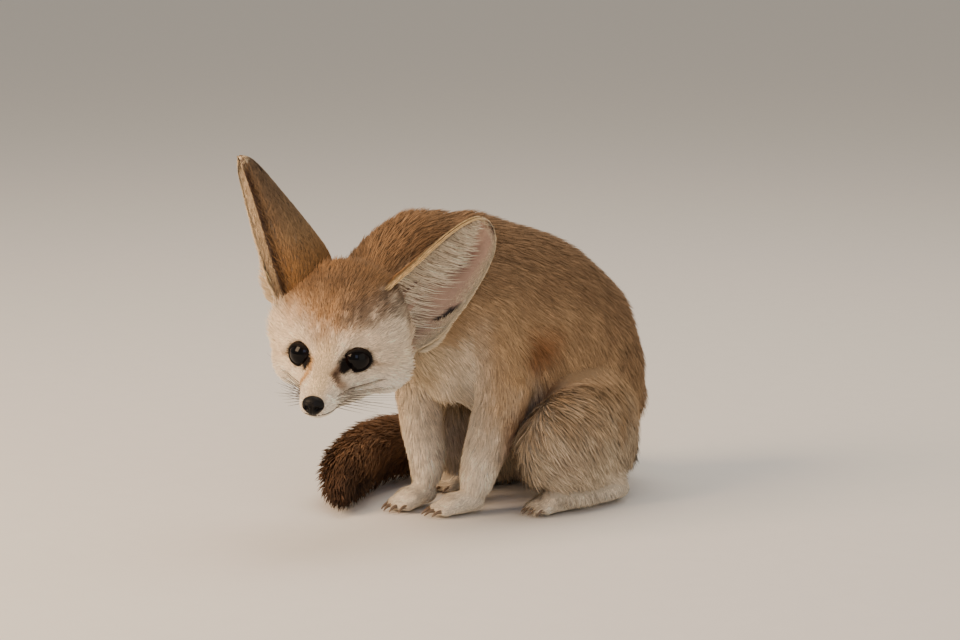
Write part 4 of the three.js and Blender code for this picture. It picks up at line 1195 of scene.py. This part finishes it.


# Long white hairs spring from the inner edge, cross three fifths of the cup and gather in strands,
# with painted shade between them: the skin beneath is painted dark, and some hairs and whole strands
# are painted darker, more of them near the ear's root; they climb most half-way up
def longHairs(which):
    inner, n = ears[which]["inner"], tufted["sweep"]
    share = rng.random(n) ** 1.1 * 0.9
    strand = noise(np.stack([share * earLong, 0 * share, 0 * share], 1), 1.7, 51)
    share = share + 0.012 * np.sin(share * earLong * 2 * math.pi / 3.1)
    foot = step(0.4, 0.08, share)
    across = 0.96 - (0.62 + 0.7 * foot) * rng.random(n) ** 1.4
    reach = 1.2 * step(1.05, 0.62, share) * (0.45 + 0.65 * rng.random(n)) * (1 - 0.35 * foot)
    reach = np.maximum(reach * (0.7 + 0.5 * strand), 0.25)
    rise = reach * (0.16 - 0.05 * step(0.4, 0.8, share)) + rng.normal(0, 0.012, n)
    colour = painted("hair", ("hairShade", 0.85 * (rng.random(n) < 0.16 + 0.3 * step(0.3, 0.05, share))))
    colour = colour * (0.62 + 0.58 * strand)[:, None]
    lift = 0.1 + 0.16 * rng.random(n)
    return [earHairs(which, share, across * inner, rise, -inner * reach, 17 * reach, lift, 0.42, colour,
                     stations=(0, 0.3, 0.68, 1), dark=0.72)]


# The hairs of an ear as two pieces of blades
def makeEarHair(which):
    short = backHairs(which) + rimHairs(which) + cupHairs(which)
    total = 0
    for kind, sets, taper in (("short", short, (1,)), ("long", longHairs(which), (1, 0.72))):
        centres, tones, wide, side, normal, uv = (
            np.concatenate([x[key] for x in sets], axis) for key, axis in
            (("centres", 1), ("tones", 1), ("wide", 0), ("side", 0), ("normal", 0), ("uv", 0)))
        name = "coat_ear_" + which + "_" + kind
        total += makeBlades(name, centres, [wide * t for t in taper], side, normal, tones, uv)
    print("the", which, "ear's hair has", total, "triangles")


# Thin living skin: warm and a little damp, so smoother than fur, with a fine grain of about 1 mm
earSkin = makeMaterial("ear skin", grain=(900.0, 0.35, 0.0004), Roughness=0.55, Specular_IOR_Level=0.35)
for which in ears:
    makeEar(which)
    makeEarHair(which)

# Wet cornea over a dark iris: a clear coat with hardly any roughness gives the eye its glints
cornea = makeMaterial("wet cornea", pattern=(1500.0, 2.0), shades=(0.7, 1.3), Roughness=0.3,
                      Specular_IOR_Level=0.0, Coat_Weight=0.6, Coat_IOR=1.336, Coat_Roughness=0.015)
# Leather of lids, nose and lips: bare pebbled skin, kept damp; its pebbles are of 0.4 to 0.55 mm
leathery = {"pebbles": True, "Coat_Roughness": 0.3}
lidLeather = makeMaterial("lid leather", grain=(1000 / 0.4, 0.45, 0.0002), Roughness=0.6,
                          Specular_IOR_Level=0.12, Coat_Weight=0.03, **leathery)
worn = {"pattern": (300.0, 2.0), "Roughness": 0.5, **leathery}  # lighter where it is worn, every 3 mm
noseTone, lipTone, lighter = linear("#060404"), linear("#1a1210"), 1.9
noseLeather = makeMaterial("nose leather", tones=(noseTone, noseTone * lighter), Specular_IOR_Level=0.18,
                           grain=(1000 / 0.55, 0.45, 0.0002), Coat_Weight=0.05, **worn)
lipLeather = makeMaterial("lip leather", tones=(lipTone, lipTone * lighter), Specular_IOR_Level=0.5,
                          grain=(1000 / 0.5, 0.45, 0.0002), Coat_Weight=0.15, **worn)
# Keratin of claws and whiskers: layered horn, half glossy, streaked every 1.4 mm
horny = {"pattern": (700.0, 3.0), "grain": (700.0, 0.2, 0.0002), "Roughness": 0.35}
clawHorn = makeMaterial("claw horn", tones=(linear("#85705a"), linear("#4a3b2e")), **horny)
keratin = makeMaterial("whisker keratin", tones=(linear("#5a4a3c"), linear("#1d1612")), **horny)
irisColours = {"pupil": "#050405", "iris": "#150b07", "rim": "#0a0605"}
lidColours = {"edge": "#0b0706", "fold": "#33241a"}


# The eyes: a ball whose front bulges as the cornea does; nearly all that shows is the wide pupil
def makeEye(name, side):
    rows, columns = 48, 64
    lat = np.linspace(0, math.pi, rows + 2)[1:-1, None]
    lon = np.arange(columns)[None] / columns * 2 * math.pi
    radius = eye["radius"] * (1 + eye["bulge"] * bell(lat, 0, 0.5))
    rings = np.stack([radius * np.sin(lat) * np.cos(lon), -radius * np.cos(lat) + 0 * lon,
                      radius * np.sin(lat) * np.sin(lon)], -1)
    points, faces = closedSkin(rings, (0, -eye["radius"] * (1 + eye["bulge"]), 0), (0, eye["radius"], 0))
    piece = makeMesh("eyeball_" + name, fromEye(points, side), faces)
    out = np.append(np.broadcast_to(lat, (rows, columns)).ravel(), [0, math.pi]) * eye["radius"]
    pupil, iris, rim = (linear(irisColours[key]) for key in ("pupil", "iris", "rim"))
    setColour(piece, mixed(mixed(pupil, iris, step(5.2, 6.2, out)), rim, step(7.6, 8.4, out)))
    dress(piece, cornea, "eye", "eye_" + name)


# The almond of the lids at an angle round it: a flattened ellipse drawn out at the inner corner
def almond(angle, side):
    x = eye["wide"] / 2 * np.cos(angle)
    z = eye["high"] / 2 * np.sign(np.sin(angle)) * np.abs(np.sin(angle)) ** 1.05
    inner = np.exp(-((np.cos(angle) + 1) / 0.18))
    return (x - 2.2 * inner) * side, z - 1.6 * inner


# A pair of lids as one ring of rows round the almond: from the ball, over a rolled rim, out under
# the fur. Each row is the almond grown by a factor on a sphere that is larger than the ball by the
# second number, in mm; a second layer behind the first closes the sheet
lidRows = [(0.9, -0.3), (0.94, 0.05), (0.97, 0.35), (1.0, 0.6), (1.05, 0.75), (1.12, 0.7), (1.2, 0.4),
           (1.35, -0.4), (1.55, -1.6)]


def makeLids(name, side):
    columns = 96
    x, z = almond(np.arange(columns) / columns * 2 * math.pi, side)
    rings = []
    for grow, rise in lidRows:
        radius = eye["radius"] + rise
        a, b = x * grow, z * grow
        rings.append(np.stack([a, -np.sqrt(np.maximum(radius ** 2 - a * a - b * b, 1)), b], -1))
    rings = np.array(rings)
    loop = np.concatenate([rings, rings[::-1] + (0, 0.7, 0)]).transpose(1, 0, 2)
    count = loop.shape[1]
    faces = gridFaces(columns + 1, count) % (columns * count)
    points = fromEye(loop.reshape(-1, 3), side)
    piece = makeMesh("lids_" + name, points, facingOut(points, [faces]))
    grown = np.tile([row[0] for row in lidRows + lidRows[::-1]], columns)
    setColour(piece, mixed(linear(lidColours["edge"]), linear(lidColours["fold"]), step(1.1, 1.35, grown)))
    dress(piece, lidLeather, "nose_leather")


# The pad: nostrils are round holes with a slit to the side under a low wing, all of them bells that
# push its front in or out
def makeNose():
    points, faces = ball(80, 120)
    x, y, z = points.T
    px, pz = x * nose["size"][0], z * nose["size"][2]
    dent = np.zeros(len(points))
    for side in sides.values():
        qx, qz = px * side - nose["nostril"][0], pz - nose["nostril"][1]
        hole = np.exp(-((qx / nose["radius"]) ** 2 + (qz / nose["radius"]) ** 2) ** 1.5)
        slit = bell(qx, 1.9, 1.5) * bell(qz + 0.35 - 0.25 * qx, 0, 0.6)
        wing = bell(np.hypot(qx, qz), 2.3, 0.7) * step(-1.5, 0.5, qz + 0.4 * qx)
        dent += nose["depth"] * np.maximum(hole, nose["slit"] * slit) - nose["wing"] * wing
    foldShade = nose["foldShade"] * bell(px, 0, 0.5) * step(2.4, 0.5, pz)
    front = step(0.1, -0.5, y)
    points = points * np.array(nose["size"]) * (1 - nose["flat"] * step(0.5, 1, z))[:, None]
    points[:, 0] *= 1 - nose["narrow"] * step(0, -1, z)
    points[:, 1] += (dent + foldShade) * front
    dress(makeMesh("nose_pad", fromHead(points + nose["place"]), faces), noseLeather, "nose_leather", "nose")


# Points moved onto the skin: along the normal of the nearest of its own points
def onSkin(points):
    nearest = np.array([np.argmin(((skinPoints - p) ** 2).sum(1)) for p in points])
    normal = skinNormals[nearest]
    return points - normal * ((points - skinPoints[nearest]) * normal).sum(1, keepdims=True), normal


# A tapered tube along each of many paths, given as stations by paths: rings of "corners" points
# across the way, closed by a point at each end
def makeTubes(name, centres, radius, corners=3):
    stations, count = centres.shape[:2]
    way = unit(np.gradient(centres, axis=0))
    across = unit(np.cross(way, unit(way[0] + (0.3, 0.2, 1))))
    over = np.cross(way, across)
    angle = np.arange(corners) / corners * 2 * math.pi
    ring = across[:, :, None] * np.cos(angle)[:, None] + over[:, :, None] * np.sin(angle)[:, None]
    points = (centres[:, :, None] + ring * radius[:, :, None, None]).transpose(1, 0, 2, 3).reshape(-1, 3)
    ends = np.stack([centres[0], centres[-1]], 1).reshape(-1, 3)
    base = np.arange(count)[:, None] * stations * corners
    faces = (gridFaces(stations, corners)[None] + base[:, :, None]).reshape(-1, 4)
    k = np.arange(corners)
    n = (k + 1) % corners
    end = len(points) + 2 * np.arange(count)[:, None] + 0 * k
    lastRing = base + (stations - 1) * corners
    caps = [np.stack([end, base + n, base + k], -1), np.stack([end + 1, lastRing + k, lastRing + n], -1)]
    return makeMesh(name, np.vstack([points, ends]), [faces, np.concatenate(caps).reshape(-1, 3)])


# The lips: a thin dark line from one corner of the mouth round the front of the muzzle to the other,
# at the skull's half-width for its height, laid on the skin
mouth = {"height": -19.8, "front": -38, "back": -20, "drop": 1.4, "dip": 0.8, "bow": 1.6, "radius": 0.45,
         "off": 0.15, "points": 61}


def makeLips():
    s = np.linspace(-1, 1, mouth["points"])
    y = mouth["front"] + (mouth["back"] - mouth["front"]) * np.abs(s) ** 1.3
    y = y - mouth["bow"] * (1 - np.minimum(np.abs(s) * 5, 1) ** 2)
    rows = np.array(skullSections, float)[::-1]
    wide, top, bottom = (np.interp(y, rows[:, 0], rows[:, i]) for i in (1, 2, 3))
    z = mouth["height"] - mouth["drop"] * s * s - mouth["dip"] * bell(s, 0, 0.12)
    level = (z - (top + bottom) / 2) / ((top - bottom) / 2)
    x = np.sign(s) * wide * np.sqrt(np.clip(1 - level * level, 0, 1)) * np.minimum(np.abs(s) * 9, 1)
    points, normal = onSkin(fromHead(np.stack([x, y, z], 1)))
    order = np.arange(mouth["points"])
    points = smoothed(points + normal * mouth["off"], np.stack([order[:-1], order[1:]], 1), 0.5, 3)
    radius = mouth["radius"] * (0.35 + 0.65 * (1 - s ** 4))
    dress(makeTubes("lips", points[:, None], radius[:, None], 10), lipLeather, "nose_leather")


# Whiskers: four rows on each side of the muzzle, thin and tapered, bowed back and a little down
whisker = {"rows": 4, "each": 5, "long": 44, "radius": 0.27, "taper": 0.85, "bow": 0.22, "sunk": 1.2,
           "seed": 9}


def makeWhiskers():
    random = np.random.default_rng(whisker["seed"])
    roots, outs, longs = [], [], []
    for side in sides.values():
        for row in range(whisker["rows"]):
            for i in range(whisker["each"]):
                y = -30 + 3.6 * i + random.uniform(-0.6, 0.6)
                roots.append((side * (10.5 + 0.55 * i), y, -11.5 - 2.1 * row - 0.35 * i))
                outs.append((side * (0.62 + 0.05 * i), 0.62 + 0.04 * i, -0.1 + 0.17 * (1.5 - row) - 0.12))
                longs.append(whisker["long"] * (0.45 + 0.14 * i) * random.uniform(0.8, 1.15))
    root, normal = onSkin(fromHead(roots))
    out = unit(np.array(outs)) @ headTurn.T
    long = np.array(longs)[:, None]
    s = np.linspace(0, 1, 12)
    bow = unit(headY - 0.35 * headZ)
    centres = np.array([root - normal * whisker["sunk"] * (1 - t) + out * long * t
                        + bow * long * whisker["bow"] * t * t for t in s])
    radius = whisker["radius"] * (1 - whisker["taper"] * s)[:, None] * np.ones(len(root))
    dress(makeTubes("whiskers", centres, radius), keratin, "claw")


# Claws: horn that curves down from each toe to a blunt point, each in place of its own solid. Its
# middle rises by a sine and falls by a square, and stays above the floor
claw = {"long": 7.5, "radius": 1.25, "height": 4.4, "rise": 0.9, "drop": 3.3, "tip": 0.12, "clear": 0.1}


def makeClaws():
    s = np.linspace(0, 1, 14)
    for foot, places in pawPlaces.items():
        for number, (root, tip, way) in enumerate(toes(places), 1):
            name = foot + "_" + str(number)
            start = tip + way
            start[2] = claw["height"]
            centres = start + way * claw["long"] * s[:, None]
            centres[:, 2] += claw["rise"] * np.sin(s * math.pi * 0.7) - claw["drop"] * s ** 2
            radius = claw["radius"] * np.sqrt(np.clip(1 - s ** 2.6, 0, 1)) * (1 - 0.45 * s) + claw["tip"]
            centres[:, 2] = np.maximum(centres[:, 2], radius + claw["clear"])
            piece = makeTubes("horn_" + name, centres[:, None], radius[:, None], 12)
            dress(piece, clawHorn, "claw", "claw_" + name)


for name, side in sides.items():
    makeEye(name, side)
    makeLids(name, side)
makeNose()
makeLips()
makeWhiskers()
makeClaws()
print("the eyes, nose, mouth, whiskers and claws are in place")

# Pale paper: matt and nearly even, clouded every 17 mm
paper = makeMaterial("pale paper", pattern=(60.0, 2.0), tones=(linear("#e6e2dc"), linear("#eae6e0")),
                     Roughness=0.9)


# The plain floor: a large pale sheet at the height of what the fox rests on
def makeFloor(half=12):
    mesh = bpy.data.meshes.new("floor")
    corners = [(half * x, half * y, cadBox[0][2]) for x, y in ((-1, -1), (1, -1), (1, 1), (-1, 1))]
    mesh.from_pydata(corners, [], [(0, 1, 2, 3)])
    mesh.materials.append(paper)
    put("floor", mesh)


# Soft lamps round the fox, each a square at a place given by how far right, up and towards the
# camera it stands from the middle of the fox, in metres, with its side, its power and its warmth
lamps = {
    "key": {"place": (-1.35, 0.95, 0.75), "size": 0.9, "power": 39, "colour": "#ffdab2"},
    "fill": {"place": (1.3, 0.4, 1.2), "size": 1.6, "power": 6, "colour": "#fff3e4"},
    "top": {"place": (0.2, 1.6, -0.5), "size": 1.3, "power": 13, "colour": "#fff6ea"},
    "window": {"place": (0.05, 0.85, 1.9), "size": 0.7, "power": 4.6, "colour": "#bfd2ff"},
}
skyLight = {"colour": "#f6ede0", "power": 0.5}


# Each lamp faces the middle of the fox's box
def makeLamps():
    middle = np.mean(cadBox, axis=0)
    for name, lamp in lamps.items():
        right, up, near = lamp["place"]
        where = rightward * right + np.array([0, 0, up]) + nearward * near
        data = bpy.data.lights.new(name, "AREA")
        data.energy, data.size, data.color = lamp["power"], lamp["size"], linear(lamp["colour"])
        back = unit(where)
        side = unit(np.cross((0, 0, 1), back))
        put(name, data, (side, np.cross(back, side), back), middle + where)
    world = bpy.data.worlds.new("studio")
    world.use_nodes = True
    sky = world.node_tree.nodes["Background"]
    sky.inputs["Color"].default_value = (*linear(skyLight["colour"]), 1)
    sky.inputs["Strength"].default_value = skyLight["power"]
    bpy.context.scene.world = world


makeFloor()
makeLamps()
print("the floor and the lamps are in place")
